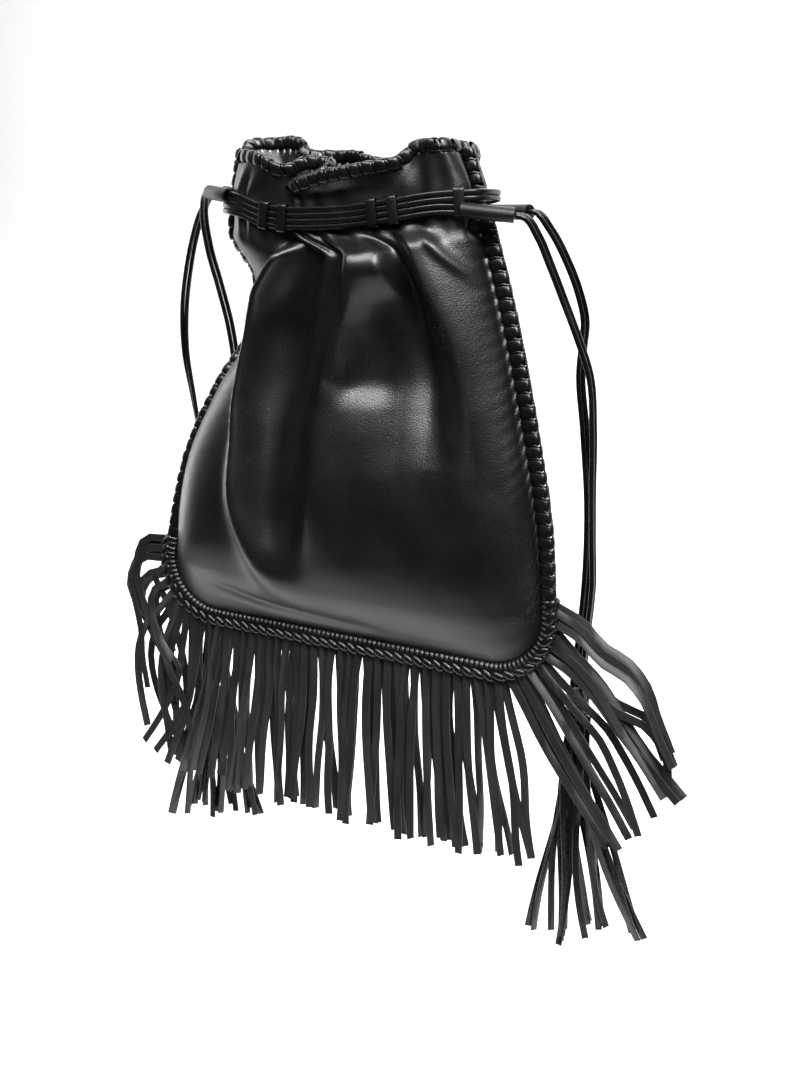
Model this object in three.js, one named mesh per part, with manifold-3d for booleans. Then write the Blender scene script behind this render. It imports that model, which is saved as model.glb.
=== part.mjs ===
// A soft black leather drawstring bag: two laced panels, a drawn neck, a knotted fringe and two tassels.
// Millimetres, +Z up, the front towards -Y. The origin is the middle of the drawn neck, where the bag hangs.

import * as THREE from "three";
import { mergeVertices } from "three/addons/utils/BufferGeometryUtils.js";
import Module from "manifold-3d";

// Body
const BODY_WIDTH = 380; // between the side seams at the widest
const BODY_DROP = 356; // from the neck down to the bottom seam
const CORNER_RADIUS = 52; // of the bottom seam
const NECK_WIDTH = 242; // between the side seams at the drawn neck
const NECK_DEPTH = 54; // front to back at the drawn neck
const RIM_HEIGHT = 60; // of the mouth's highest stretch above the neck
const BELLY_DEPTH = 33; // how far each panel swells at the middle
const FOLD_DEPTH = 30; // how far the tallest fold stands proud of the belly
const PLEAT_DEPTH = 6; // of the small gathers at the neck
const PLEATS = 9; // across each panel
const WALL = 2; // leather of the panels
const GAP = 0.3; // clearance between pieces
const SEAM_CLEARANCE = 1.3; // from a panel's edge to the lace wound over it

// Lacing
const LACE_PITCH = 10; // one stitch of the side and rim lacing
const ROLL_RADIUS = 4.3; // of a stitch, from the seam line
const ROLL_WAIST = 3.1; // between two stitches

// Fringe
const KNOT_PITCH = 9; // along the bottom seam
const LOCK_WIDTH = 7.4; // two strips that lie side by side
const STRIP_THICKNESS = 1.6;
const FRINGE_LENGTH = 156;
const FRINGE_START = 68; // how high above the bottom the knots begin on each side seam

// Thongs, sleeves and keepers
const THONG_HEIGHT = 4.4; // one thong, seen from the front
const THONG_THICKNESS = 3.2;
const STRAP_DIAMETER = 7.4; // a hanging pair of thongs
const SLEEVE_WALL = 1.2;
const SLEEVE_BORE = 8.2;
const KEEPER_WIDTH = 8.5;
const KEEPER_WALL = 1.2;

// Tassels
const TASSEL_HEAD_DIAMETER = 20;
const TASSEL_HEAD_LENGTH = 30;
const TASSEL_LENGTH = 182; // of the strips below the head
const TASSEL_STRIPS = 9;
const TASSEL_SPREAD = 46; // how far the outer strips fan out

const LEATHER = { color: 0x141414, roughness: 0.42, metalness: 0 };
const LACE = { color: 0x121212, roughness: 0.5, metalness: 0 };
const SUEDE = { color: 0x191919, roughness: 0.85, metalness: 0 };

const wasm = await Module();
wasm.setup();

const vec = (x, y, z) => new THREE.Vector3(x, y, z);
const clamp01 = (q) => Math.min(1, Math.max(0, q));
const ease = (q) => clamp01(q) * clamp01(q) * (3 - 2 * clamp01(q));
const mix = (a, b, q) => a + (b - a) * q;

// A value between -1 and 1 that looks random and is the same each time.
function scatter(index, salt) {
  const wave = Math.sin(index * 12.9898 + salt * 78.233) * 43758.5453;
  return 2 * (wave - Math.floor(wave)) - 1;
}

// A smooth function through a table's rows, from column `from` to column `to`, with no overshoot.
function through(rows, from, to) {
  const x = rows.map((row) => row[from]);
  const y = rows.map((row) => row[to]);
  const last = rows.length - 1;
  const slope = x.slice(1).map((q, i) => (y[i + 1] - y[i]) / (q - x[i]));
  const tilt = y.map((_, i) => {
    if (i === 0) return slope[0];
    if (i === last) return slope[last - 1];
    return slope[i - 1] * slope[i] <= 0 ? 0 : (2 * slope[i - 1] * slope[i]) / (slope[i - 1] + slope[i]);
  });
  return (at) => {
    const q = Math.min(x[last], Math.max(x[0], at));
    const i = Math.min(last - 1, Math.max(0, x.findIndex((value) => value > q) - 1));
    const k = q >= x[last] ? last - 1 : i;
    const h = x[k + 1] - x[k];
    const t = (q - x[k]) / h;
    const a = y[k] * (2 * t ** 3 - 3 * t ** 2 + 1) + y[k + 1] * (3 * t ** 2 - 2 * t ** 3);
    return a + h * (tilt[k] * (t ** 3 - 2 * t ** 2 + t) + tilt[k + 1] * (t ** 3 - t ** 2));
  };
}

// Half the width of the body. drop: share of the way from the rim's top down to the corner.
// width: share of what the body is wider than the neck.
const WIDTHS = [
  { drop: 0.0, width: -0.33 },
  { drop: 0.17, width: 0.0 },
  { drop: 0.36, width: 0.33 },
  { drop: 0.59, width: 0.65 },
  { drop: 0.81, width: 0.9 },
  { drop: 1.0, width: 1.0 },
];
// The left seam leans in and back under the neck. Both are shares of half the neck's width.
const LEFT_SEAM = [
  { drop: 0.0, inward: -0.1, back: -0.04 },
  { drop: 0.2, inward: 0.02, back: 0.0 },
  { drop: 0.31, inward: 0.16, back: 0.25 },
  { drop: 0.42, inward: 0.2, back: 0.32 },
  { drop: 0.57, inward: 0.1, back: 0.17 },
  { drop: 0.73, inward: 0.03, back: 0.07 },
  { drop: 1.0, inward: -0.02, back: 0.0 },
];
// How the drawn thongs sag. across: -1 left seam to 1 right seam. lift: share of half the neck's depth.
const FRONT_BAND = [
  { across: -1, lift: 0.37 },
  { across: -0.8, lift: 0.28 },
  { across: -0.58, lift: 0.02 },
  { across: -0.38, lift: -0.07 },
  { across: 0, lift: 0.0 },
  { across: 0.42, lift: 0.26 },
  { across: 0.72, lift: 0.48 },
  { across: 1, lift: 0.6 },
];
const BACK_BAND = [
  { across: -1, lift: 0.37 },
  { across: -0.4, lift: 0.1 },
  { across: 0.4, lift: 0.22 },
  { across: 1, lift: 0.6 },
];
// The ruffled mouth. height: share of RIM_HEIGHT. out: share of half the neck's depth.
const FRONT_RIM = [
  { across: -1.0, height: 0.94, out: 0.0 },
  { across: -0.88, height: 0.82, out: 0.62 },
  { across: -0.5, height: 0.57, out: 1.05 },
  { across: -0.32, height: 0.74, out: 0.66 },
  { across: -0.18, height: 0.74, out: 0.6 },
  { across: -0.08, height: 0.58, out: 1.05 },
  { across: 0.1, height: 0.62, out: 1.2 },
  { across: 0.44, height: 0.75, out: 0.9 },
  { across: 0.54, height: 0.98, out: 0.62 },
  { across: 0.72, height: 1.0, out: 0.95 },
  { across: 0.9, height: 0.98, out: 0.6 },
  { across: 1.0, height: 0.98, out: 0.0 },
];
const BACK_RIM = [
  { across: -1.0, height: 0.94, out: 0.0 },
  { across: -0.85, height: 0.97, out: 0.7 },
  { across: -0.6, height: 1.04, out: 1.0 },
  { across: -0.42, height: 0.9, out: 0.65 },
  { across: -0.15, height: 0.86, out: 1.05 },
  { across: 0.1, height: 0.76, out: 0.7 },
  { across: 0.4, height: 0.78, out: 1.1 },
  { across: 0.65, height: 0.74, out: 0.7 },
  { across: 0.85, height: 0.84, out: 0.95 },
  { across: 1.0, height: 0.98, out: 0.0 },
];
// How full a panel is. down: 0 at the neck, 1 at the bottom seam. swell: share of BELLY_DEPTH.
// power and root: its cross-section, boxy under the neck and lens-shaped lower down.
const SWELL = [
  { down: 0.0, swell: 0.82, power: 4.0, root: 0.25 },
  { down: 0.1, swell: 0.84, power: 3.0, root: 0.4 },
  { down: 0.35, swell: 0.95, power: 2.3, root: 0.6 },
  { down: 0.62, swell: 1.0, power: 2.2, root: 0.7 },
  { down: 0.84, swell: 0.74, power: 2.2, root: 0.75 },
  { down: 0.95, swell: 0.34, power: 2.2, root: 0.8 },
  { down: 1.0, swell: 0.0, power: 2.2, root: 0.8 },
];
// The folds. Each runs down the panel between two shares, from and to.
// top, mid and end: where it lies across there.
// crest and high: how far it stands out at its top and middle, in shares of FOLD_DEPTH, negative in a valley.
const FRONT_FOLDS = [
  { from: 0.0, to: 0.98, top: -0.38, mid: -0.55, end: -0.3, crest: 0.5, high: 1.0, reach: 0.15 },
  { from: 0.0, to: 0.9, top: -0.2, mid: -0.29, end: -0.28, crest: -0.1, high: -0.3, reach: 0.12 },
  { from: 0.0, to: 0.9, top: 0.16, mid: -0.02, end: -0.12, crest: 0.55, high: 0.8, reach: 0.13 },
  { from: 0.02, to: 0.4, top: 0.4, mid: 0.36, end: 0.24, crest: -0.1, high: -0.25, reach: 0.13 },
  { from: 0.0, to: 0.66, top: 0.56, mid: 0.74, end: 0.76, crest: 0.3, high: 0.6, reach: 0.12 },
  { from: 0.3, to: 1.0, top: 0.25, mid: 0.3, end: 0.3, crest: 0.0, high: 0.3, reach: 0.3 },
];
const BACK_FOLDS = [
  { from: 0.0, to: 0.9, top: -0.55, mid: -0.62, end: -0.5, crest: 0.3, high: 0.5, reach: 0.13 },
  { from: 0.0, to: 0.95, top: -0.1, mid: -0.2, end: -0.3, crest: 0.5, high: 0.8, reach: 0.15 },
  { from: 0.0, to: 0.9, top: 0.12, mid: 0.06, end: 0.1, crest: -0.1, high: -0.25, reach: 0.12 },
  { from: 0.0, to: 0.88, top: 0.34, mid: 0.36, end: 0.45, crest: 0.5, high: 0.7, reach: 0.14 },
  { from: 0.0, to: 0.6, top: 0.66, mid: 0.74, end: 0.78, crest: 0.3, high: 0.4, reach: 0.1 },
];
// How the fringe fans. along: 0 at its left end, 1 at its right. leave and hang: degrees from straight down.
const FAN = [
  { along: 0.0, leave: -108, hang: 8 },
  { along: 0.08, leave: -96, hang: 6 },
  { along: 0.15, leave: -56, hang: -4 },
  { along: 0.22, leave: -14, hang: -3 },
  { along: 0.3, leave: -3, hang: -1 },
  { along: 0.7, leave: 2, hang: 3 },
  { along: 0.8, leave: 10, hang: 12 },
  { along: 0.86, leave: 36, hang: 26 },
  { along: 0.93, leave: 62, hang: 42 },
  { along: 1.0, leave: 84, hang: 58 },
];

// The hanging thongs' routes, chosen by hand. Each starts in its sleeve's outer end and ends on its tassel.
const STRAP_ROUTES = {
  strap_right_front: [
    [147, -9, 6], [153, -6, 5], [162, -1, -8], [171, 4, -29], [182, 9, -56], [194, 12, -84], [204, 14, -110],
    [209, 16, -153], [211, 17, -200], [213, 18, -240], [215, 19, -275], [213, 19, -318], [211, 20, -354],
    [211, 20, -364],
  ],
  strap_right_back: [
    [150, 10, 9], [156, 8, 9], [166, 12, -3], [178, 19, -26], [187, 24, -49], [192, 28, -72], [190, 31, -92],
    [189, 32, -111], [195, 32, -155], [203, 31, -218], [205, 30, -274], [203, 29, -325], [201, 28, -354],
    [201, 28, -364],
  ],
  strap_left_front: [
    [-142, -8, 17], [-147, -5, 16], [-155, 2, 3], [-159, 14, -28], [-160, 31, -62], [-158, 44, -98],
    [-157, 52, -134], [-158, 56, -180], [-161, 56, -225], [-165, 53, -270], [-169, 49, -315],
    [-170, 46, -342], [-170, 46, -352],
  ],
  strap_left_back: [
    [-144, 12, 17], [-150, 9, 16], [-164, 12, 2], [-178, 18, -22], [-190, 25, -50], [-199, 31, -82],
    [-202, 36, -123], [-197, 41, -165], [-190, 45, -210], [-184, 48, -255], [-181, 48, -300],
    [-180, 46, -342], [-180, 46, -352],
  ],
};

const halfBody = BODY_WIDTH / 2;
const halfNeck = NECK_WIDTH / 2;
const neckOut = NECK_DEPTH / 2;
const bandHalf = 2 * THONG_HEIGHT + KEEPER_WALL + 5 * GAP;
const cornerX = halfBody - CORNER_RADIUS;
const cornerZ = CORNER_RADIUS - BODY_DROP;
const edgeInset = ROLL_RADIUS + SEAM_CLEARANCE;
const seamDrop = RIM_HEIGHT - cornerZ;

const widthShare = through(WIDTHS, "drop", "width");
const leftInward = through(LEFT_SEAM, "drop", "inward");
const leftBack = through(LEFT_SEAM, "drop", "back");
const swellAt = through(SWELL, "down", "swell");
const powerAt = through(SWELL, "down", "power");
const rootAt = through(SWELL, "down", "root");

const FRONT = {
  side: -1,
  band: through(FRONT_BAND, "across", "lift"),
  rim: through(FRONT_RIM, "across", "height"),
  out: through(FRONT_RIM, "across", "out"),
  folds: FRONT_FOLDS,
  cells: 16,
};
const BACK = {
  side: 1,
  band: through(BACK_BAND, "across", "lift"),
  rim: through(BACK_RIM, "across", "height"),
  out: through(BACK_RIM, "across", "out"),
  folds: BACK_FOLDS,
  cells: 12,
};

const dropShare = (z) => clamp01((RIM_HEIGHT - z) / seamDrop);
const halfWidth = (z) => halfNeck + (halfBody - halfNeck) * widthShare(dropShare(z));
const bandHeight = (face, across) => neckOut * face.band(across);

// The seam line at a height, on the left (side -1) or the right.
function seamPoint(side, z) {
  if (side > 0) return vec(halfWidth(z), 0, z);
  const lean = halfNeck * leftInward(dropShare(z));
  return vec(lean - halfWidth(z), halfNeck * leftBack(dropShare(z)), z);
}

// A closed surface from points and triangles, turned so that its faces point out.
function closedSurface(points, triangles) {
  const cone = ([a, b, c]) => points[a].dot(vec(0, 0, 0).crossVectors(points[b], points[c]));
  const volume = triangles.reduce((sum, triangle) => sum + cone(triangle), 0);
  const order = volume < 0 ? triangles.map(([a, b, c]) => [a, c, b]) : triangles;
  const geometry = new THREE.BufferGeometry();
  geometry.setFromPoints(points);
  geometry.setIndex(order.flat());
  return geometry;
}

// A solid through rings of points, each with as many points as the first, closed with a fan at both ends.
function loft(rings) {
  const sides = rings[0].length;
  const triangles = [];
  for (let i = 0; i + 1 < rings.length; i += 1) {
    for (let j = 0; j < sides; j += 1) {
      const a = i * sides + j;
      const b = i * sides + ((j + 1) % sides);
      triangles.push([a, b, b + sides], [a, b + sides, a + sides]);
    }
  }
  const end = (rings.length - 1) * sides;
  for (let j = 1; j + 1 < sides; j += 1) triangles.push([0, j + 1, j], [end, end + j, end + j + 1]);
  return closedSurface(rings.flat(), triangles);
}

// A ring of points round a place, in the plane square to `along`, with `upright` as its second axis.
function ring(place, along, upright, halfAcross, halfUp, sides) {
  const t = along.clone().normalize();
  const across = vec(0, 0, 0).crossVectors(upright, t).normalize();
  const up = vec(0, 0, 0).crossVectors(t, across);
  return Array.from({ length: sides }, (_, i) => {
    const angle = (2 * Math.PI * (i + 0.5)) / sides;
    const point = place.clone().addScaledVector(across, halfAcross * Math.cos(angle));
    return point.addScaledVector(up, halfUp * Math.sin(angle));
  });
}

// Points at even distances along a path given as a function of 0 to 1.
function evenPoints(path, count) {
  const fine = Array.from({ length: 241 }, (_, i) => path(i / 240));
  const lengths = [0];
  for (let i = 1; i < fine.length; i += 1) lengths.push(lengths[i - 1] + fine[i].distanceTo(fine[i - 1]));
  const whole = lengths[lengths.length - 1];
  return Array.from({ length: count + 1 }, (_, i) => {
    const goal = (whole * i) / count;
    const k = Math.max(1, lengths.findIndex((value) => value >= goal - 1e-9));
    return fine[k - 1].clone().lerp(fine[k], (goal - lengths[k - 1]) / (lengths[k] - lengths[k - 1]));
  });
}

function pathLength(path) {
  const points = Array.from({ length: 241 }, (_, i) => path(i / 240));
  return points.slice(1).reduce((sum, point, i) => sum + point.distanceTo(points[i]), 0);
}

function directionAt(points, i) {
  const next = points[Math.min(i + 1, points.length - 1)];
  return next.clone().sub(points[Math.max(i - 1, 0)]);
}

const ROLL_SIDES = 5;

// A lace wound round an edge: a roll that swells once for each stitch.
function woundRoll(path, pitch, upright) {
  const stitches = Math.max(2, Math.round(pathLength(path) / pitch));
  const points = evenPoints(path, 2 * stitches);
  const rings = points.map((place, i) => {
    const radius = i % 2 ? ROLL_RADIUS : ROLL_WAIST;
    return ring(place, directionAt(points, i), upright, radius, radius, ROLL_SIDES);
  });
  return loft(rings);
}

// A flat strip of leather along points, with its broad side across `across`.
function strip(points, across, width, thickness) {
  const rings = points.map((place, i) => {
    const t = directionAt(points, i).normalize();
    const flat = vec(0, 0, 0).crossVectors(t, across).normalize();
    const side = vec(0, 0, 0).crossVectors(flat, t);
    const corners = [[1, 1], [-1, 1], [-1, -1], [1, -1]];
    return corners.map(([a, b]) => {
      const corner = place.clone().addScaledVector(side, (a * width) / 2);
      return corner.addScaledVector(flat, (b * thickness) / 2);
    });
  });
  return loft(rings);
}

function toSolid(geometry) {
  const plain = geometry.clone();
  plain.deleteAttribute("normal");
  plain.deleteAttribute("uv");
  const merged = mergeVertices(plain, 1e-4);
  const vertProperties = merged.attributes.position.array;
  const triVerts = new Uint32Array(merged.index.array);
  return new wasm.Manifold(new wasm.Mesh({ numProp: 3, vertProperties, triVerts }));
}

function fromSolid(solid) {
  const mesh = solid.getMesh();
  const geometry = new THREE.BufferGeometry();
  geometry.setAttribute("position", new THREE.BufferAttribute(new Float32Array(mesh.vertProperties), 3));
  geometry.setIndex(new THREE.BufferAttribute(new Uint32Array(mesh.triVerts), 1));
  return geometry;
}

const fuse = (geometries) => fromSolid(geometries.map(toSolid).reduce((sum, solid) => sum.add(solid)));

// How far a panel's folds stand out at a place on it.
function foldHeight(face, across, down) {
  const fade = ease(down / 0.07) * ease((1 - down) / 0.2);
  const heights = face.folds.map((fold) => {
    const t = (down - fold.from) / (fold.to - fold.from);
    const ends = fold.top * (1 - t) * (1 - 2 * t) + fold.end * t * (2 * t - 1);
    const rise = fold.crest * (1 - t) * (1 - 2 * t) + 4 * fold.high * t * (1 - t);
    const away = (across - ends - 4 * fold.mid * t * (1 - t)) / fold.reach;
    return t >= 0 && t <= 1 ? rise * Math.exp(-away * away) : 0;
  });
  return FOLD_DEPTH * fade * heights.reduce((sum, height) => sum + height, 0);
}

// How far a panel's middle surface lies in front of or behind the seams.
function swell(face, across, down) {
  const boxy = Math.max(0, 1 - Math.abs(across) ** powerAt(down)) ** rootAt(down);
  return BELLY_DEPTH * swellAt(down) * boxy;
}

// The gathers at the neck, as a share that is 1 in a valley and 0 on a crest.
function gather(across) {
  return 0.5 - 0.5 * Math.cos(Math.PI * PLEATS * (across + 1));
}

// A point of a panel's middle surface. above: 1 at the rim to 0 over the drawn thongs.
// level: 1 over the thongs to -1 under them. down: 0 under them to 1 at the bottom.
function panelPoint(face, across, { above, level, down }) {
  const reach = Math.abs(across) * (halfBody - edgeInset);
  const corner = clamp01((reach - cornerX) / (CORNER_RADIUS - edgeInset));
  const bottom = cornerZ - (CORNER_RADIUS - edgeInset) * Math.sqrt(1 - corner * corner);
  const band = bandHeight(face, across);
  const rim = RIM_HEIGHT * face.rim(across) - edgeInset;
  const z = above > 0 ? mix(band + bandHalf, rim, above) : mix(band + bandHalf * level, bottom, down);
  const half = halfWidth(z) - edgeInset;
  const sway = across < 0 ? across * across : 0;
  const x = across * half + sway * halfNeck * leftInward(dropShare(z));
  const middle = sway * halfNeck * leftBack(dropShare(z));
  const pinned = 1 - across ** 6;
  const neck = neckOut * Math.max(0, 1 - across ** 4) ** 0.25 - PLEAT_DEPTH * gather(across) * pinned;
  const flare = neckOut * face.out(across) * Math.min(1, 3 * (1 - Math.abs(across)));
  const body = swell(face, across, down) + foldHeight(face, across, down) * pinned;
  const belly = mix(neck, body, ease(down / 0.12));
  const depth = above > 0 ? mix(neck, flare, ease(above)) : belly;
  return vec(x, middle + face.side * (depth + (WALL + GAP) / 2), z);
}

// The columns of a panel's grid: even between the corners and by equal angles round each corner.
function panelColumns(middleCells) {
  const cornerCells = 3;
  const whole = halfBody - edgeInset;
  const columns = [];
  for (let i = 0; i <= middleCells; i += 1) columns.push((cornerX / whole) * (-1 + (2 * i) / middleCells));
  for (let i = 1; i <= cornerCells; i += 1) {
    const angle = (Math.PI / 2) * (i / cornerCells);
    const share = (cornerX + (whole - cornerX) * Math.sin(angle)) / whole;
    columns.push(share);
    columns.unshift(-share);
  }
  return columns;
}

// The rows of a panel's grid below the thongs.
const DOWN_ROWS = [0.045, 0.1, 0.16, 0.22, 0.28, 0.34, 0.42, 0.51, 0.6, 0.7, 0.8, 0.9, 1];

// A panel: its grid thickened to a closed wall.
function panel(face) {
  const rows = [
    ...[1, 0.5].map((above) => ({ above, level: 1, down: 0 })),
    ...[1, -1].map((level) => ({ above: 0, level, down: 0 })),
    ...DOWN_ROWS.map((down) => ({ above: 0, level: -1, down })),
  ];
  const columns = panelColumns(face.cells);
  const grid = rows.map((row) => columns.map((across) => panelPoint(face, across, row)));
  const faces = [1, -1].map((sign) =>
    grid.map((line, i) =>
      line.map((place, j) => {
        const sideways = line[Math.min(j + 1, line.length - 1)].clone().sub(line[Math.max(j - 1, 0)]);
        const downward = grid[Math.min(i + 1, grid.length - 1)][j].clone().sub(grid[Math.max(i - 1, 0)][j]);
        const normal = vec(0, 0, 0).crossVectors(sideways, downward).normalize();
        return place.clone().addScaledVector(normal, (sign * WALL) / 2);
      }),
    ),
  );
  const width = columns.length;
  const layer = grid.length * width;
  const at = (k, i, j) => k * layer + i * width + j;
  const triangles = [];
  for (let i = 0; i + 1 < grid.length; i += 1) {
    for (let j = 0; j + 1 < width; j += 1) {
      const [a, b] = [at(0, i, j), at(0, i + 1, j)];
      triangles.push([a, b, b + 1], [a, b + 1, a + 1]);
      triangles.push([a + layer, b + layer + 1, b + layer], [a + layer, a + layer + 1, b + layer + 1]);
    }
  }
  const edge = [];
  for (let j = 0; j + 1 < width; j += 1) edge.push([0, j]);
  for (let i = 0; i + 1 < grid.length; i += 1) edge.push([i, width - 1]);
  for (let j = width - 1; j > 0; j -= 1) edge.push([grid.length - 1, j]);
  for (let i = grid.length - 1; i > 0; i -= 1) edge.push([i, 0]);
  edge.forEach(([i, j], n) => {
    const [k, l] = edge[(n + 1) % edge.length];
    triangles.push([at(0, i, j), at(0, k, l), at(1, k, l)], [at(0, i, j), at(1, k, l), at(1, i, j)]);
  });
  return closedSurface(faces.flat(2), triangles);
}

// The lacing of one side, from under the rim down to the fringe's first knot.
function sideLacing(side) {
  const top = RIM_HEIGHT * FRONT.rim(side) - ROLL_RADIUS - 2 * GAP;
  const bottom = FRINGE_START - BODY_DROP + GAP;
  return woundRoll((q) => seamPoint(side, mix(top, bottom, q)), LACE_PITCH, vec(0, 1, 0));
}

// The lacing of one half of the mouth: it follows the panel's top edge, a roll's radius above it.
function rimLacing(face) {
  const columns = panelColumns(face.cells);
  const edge = columns.map((across) => panelPoint(face, across, { above: 1, level: 1, down: 0 }));
  const under = columns.map((across) => panelPoint(face, across, { above: 0.5, level: 1, down: 0 }));
  const places = edge.map((place, i) => {
    const along = directionAt(edge, i).normalize();
    const up = place.clone().sub(under[i]);
    const away = up.addScaledVector(along, -up.dot(along)).normalize();
    const atSeam = columns[i] ** 4;
    const clear = vec(columns[i] ** 13 * edgeInset, face.side * atSeam * (ROLL_RADIUS + GAP), 0);
    return place.clone().addScaledVector(away, edgeInset + GAP).add(clear);
  });
  const path = new THREE.CatmullRomCurve3(places, false, "centripetal");
  return woundRoll((q) => path.getPoint(q), LACE_PITCH, vec(0, 0, 1));
}

// The bottom seam from the left side, round both corners, to the right side.
function bottomSeam(q) {
  const riser = FRINGE_START - CORNER_RADIUS;
  const arc = (Math.PI / 2) * CORNER_RADIUS;
  const flat = 2 * cornerX;
  const at = q * (2 * riser + 2 * arc + flat);
  if (at < riser) return seamPoint(-1, cornerZ + riser - at);
  if (at > riser + 2 * arc + flat) return seamPoint(1, cornerZ + at - riser - 2 * arc - flat);
  const left = seamPoint(-1, cornerZ);
  const shift = vec(left.x + halfBody, left.y, 0);
  if (at < riser + arc) {
    const angle = (at - riser) / CORNER_RADIUS;
    const out = CORNER_RADIUS * Math.cos(angle);
    const place = vec(-cornerX - out, 0, cornerZ - CORNER_RADIUS * Math.sin(angle));
    return place.addScaledVector(shift, Math.cos(angle));
  }
  if (at < riser + arc + flat) return vec(at - riser - arc - cornerX, 0, -BODY_DROP);
  const angle = (at - riser - arc - flat) / CORNER_RADIUS;
  return vec(cornerX + CORNER_RADIUS * Math.sin(angle), 0, cornerZ - CORNER_RADIUS * Math.cos(angle));
}

// One lock of the fringe: it leaves its knot at one angle and bends to another.
function fringeLock(along, index) {
  const leave = through(FAN, "along", "leave")(along) + 4 * scatter(index, 1);
  const hang = through(FAN, "along", "hang")(along) + 4 * scatter(index, 2);
  const steps = Math.abs(leave - hang) > 30 ? 5 : 2;
  const length = FRINGE_LENGTH * (1 + 0.03 * scatter(index, 3));
  const lean = (index % 2 ? 0.05 : -0.07) + 0.015 * scatter(index, 4);
  const points = [bottomSeam(along)];
  for (let i = 0; i < steps; i += 1) {
    const angle = THREE.MathUtils.degToRad(mix(leave, hang, Math.sqrt((i + 0.5) / steps)));
    const stride = length / steps;
    const step = vec(Math.sin(angle), lean, -Math.cos(angle)).multiplyScalar(stride);
    points.push(points[i].clone().add(step));
  }
  const first = THREE.MathUtils.degToRad(leave);
  const across = vec(Math.cos(first), 0.25 * scatter(index, 5), Math.sin(first));
  return strip(points, across, LOCK_WIDTH, STRIP_THICKNESS);
}

// A stretch of the fringe between two shares of the bottom seam: knots with their locks.
function fringe(from, to) {
  const whole = pathLength(bottomSeam);
  const knots = Math.round(whole / KNOT_PITCH);
  const margin = GAP / 2 / whole;
  const head = woundRoll((q) => bottomSeam(mix(from + margin, to - margin, q)), KNOT_PITCH, vec(0, 1, 0));
  const locks = [];
  for (let i = 0; i < knots; i += 1) {
    const along = (i + 0.5) / knots;
    const inside = along > from + 0.6 / knots && along < to - 0.6 / knots;
    if (inside) locks.push(fringeLock(along, i));
  }
  return fuse([head, ...locks]);
}

// The plan of the drawn thongs round the neck: angle 0 at the right seam, going round by the front.
function neckRun(angle, level) {
  const half = halfNeck + ROLL_RADIUS + GAP + THONG_THICKNESS / 2 + 0.4;
  const out = neckOut + WALL + KEEPER_WALL + 5 * GAP + THONG_THICKNESS / 2;
  const round = (value) => Math.sign(value) * Math.sqrt(Math.abs(value));
  const x = half * round(Math.cos(angle));
  const y = -out * round(Math.sin(angle));
  const face = y <= 0 ? FRONT : BACK;
  return vec(x, y, bandHeight(face, Math.max(-1, Math.min(1, x / half))) + level);
}

const NECK_STEPS = 40; // round the whole neck
const SLEEVE_STEPS = 6; // of these, from a seam to where a pair leaves the neck for its sleeve
const pairLevel = THONG_HEIGHT + GAP;
const sleeveRadius = SLEEVE_BORE / 2 + SLEEVE_WALL;

// Where a sleeve starts on the neck, for the side (-1 left) and face it is on.
function sleeveStart(side, face) {
  const angle = side > 0 ? 0.62 : Math.PI - 0.62;
  const level = side > 0 ? -pairLevel : pairLevel;
  const place = neckRun(face.side < 0 ? angle : -angle, level);
  const lift = sleeveRadius + GAP - THONG_HEIGHT;
  return place.add(vec(0, face.side * 1.6, side > 0 ? -lift : lift));
}

const SLEEVES = [
  { name: "sleeve_right_front", side: 1, face: FRONT, strap: "strap_right_front" },
  { name: "sleeve_right_back", side: 1, face: BACK, strap: "strap_right_back" },
  { name: "sleeve_left_front", side: -1, face: FRONT, strap: "strap_left_front" },
  { name: "sleeve_left_back", side: -1, face: BACK, strap: "strap_left_back" },
];

// A sleeve's outer end, just before the strap's first point.
function sleeveEnd({ strap }) {
  const [first, second] = STRAP_ROUTES[strap].slice(0, 2).map((point) => vec(...point));
  return first.addScaledVector(second.sub(first).normalize(), -4 * GAP);
}

function polygon(radius, sides) {
  return Array.from({ length: sides }, (_, i) => {
    const angle = (2 * Math.PI * (i + 0.5)) / sides;
    return new THREE.Vector2(radius * Math.cos(angle), radius * Math.sin(angle));
  });
}

// A leather tube round a pair of thongs, along +Z from its own origin.
function sleeveTube(length) {
  const shape = new THREE.Shape(polygon(sleeveRadius, 10));
  shape.holes.push(new THREE.Path(polygon(SLEEVE_BORE / 2, 10).reverse()));
  return new THREE.ExtrudeGeometry(shape, { depth: length, bevelEnabled: false });
}

// A pair of thongs: through a sleeve, across one face, round the far seam and back through the other sleeve.
function neckThongs(side) {
  const [front, back] = SLEEVES.filter((sleeve) => sleeve.side === side);
  const level = side > 0 ? -pairLevel : pairLevel;
  const slim = 0.62 * THONG_HEIGHT;
  const inSleeve = (place) => ({ place, thick: slim, tall: slim });
  const turns = Array.from({ length: NECK_STEPS - 2 * SLEEVE_STEPS + 1 }, (_, i) => SLEEVE_STEPS + i);
  const places = [
    inSleeve(sleeveEnd(front)),
    inSleeve(sleeveStart(side, front.face)),
    ...turns.map((turn) => {
      const angle = (2 * Math.PI * turn) / NECK_STEPS;
      const place = neckRun(side > 0 ? angle : Math.PI - angle, level);
      return { place, thick: THONG_THICKNESS / 2, tall: THONG_HEIGHT };
    }),
    inSleeve(sleeveStart(side, back.face)),
    inSleeve(sleeveEnd(back)),
  ];
  const points = places.map(({ place }) => place);
  const grow = 1 / Math.cos(Math.PI / 8);
  return loft(
    places.map(({ place, thick, tall }, i) =>
      ring(place, directionAt(points, i), vec(0, 0, 1), thick * grow, tall * grow, 8),
    ),
  );
}

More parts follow.
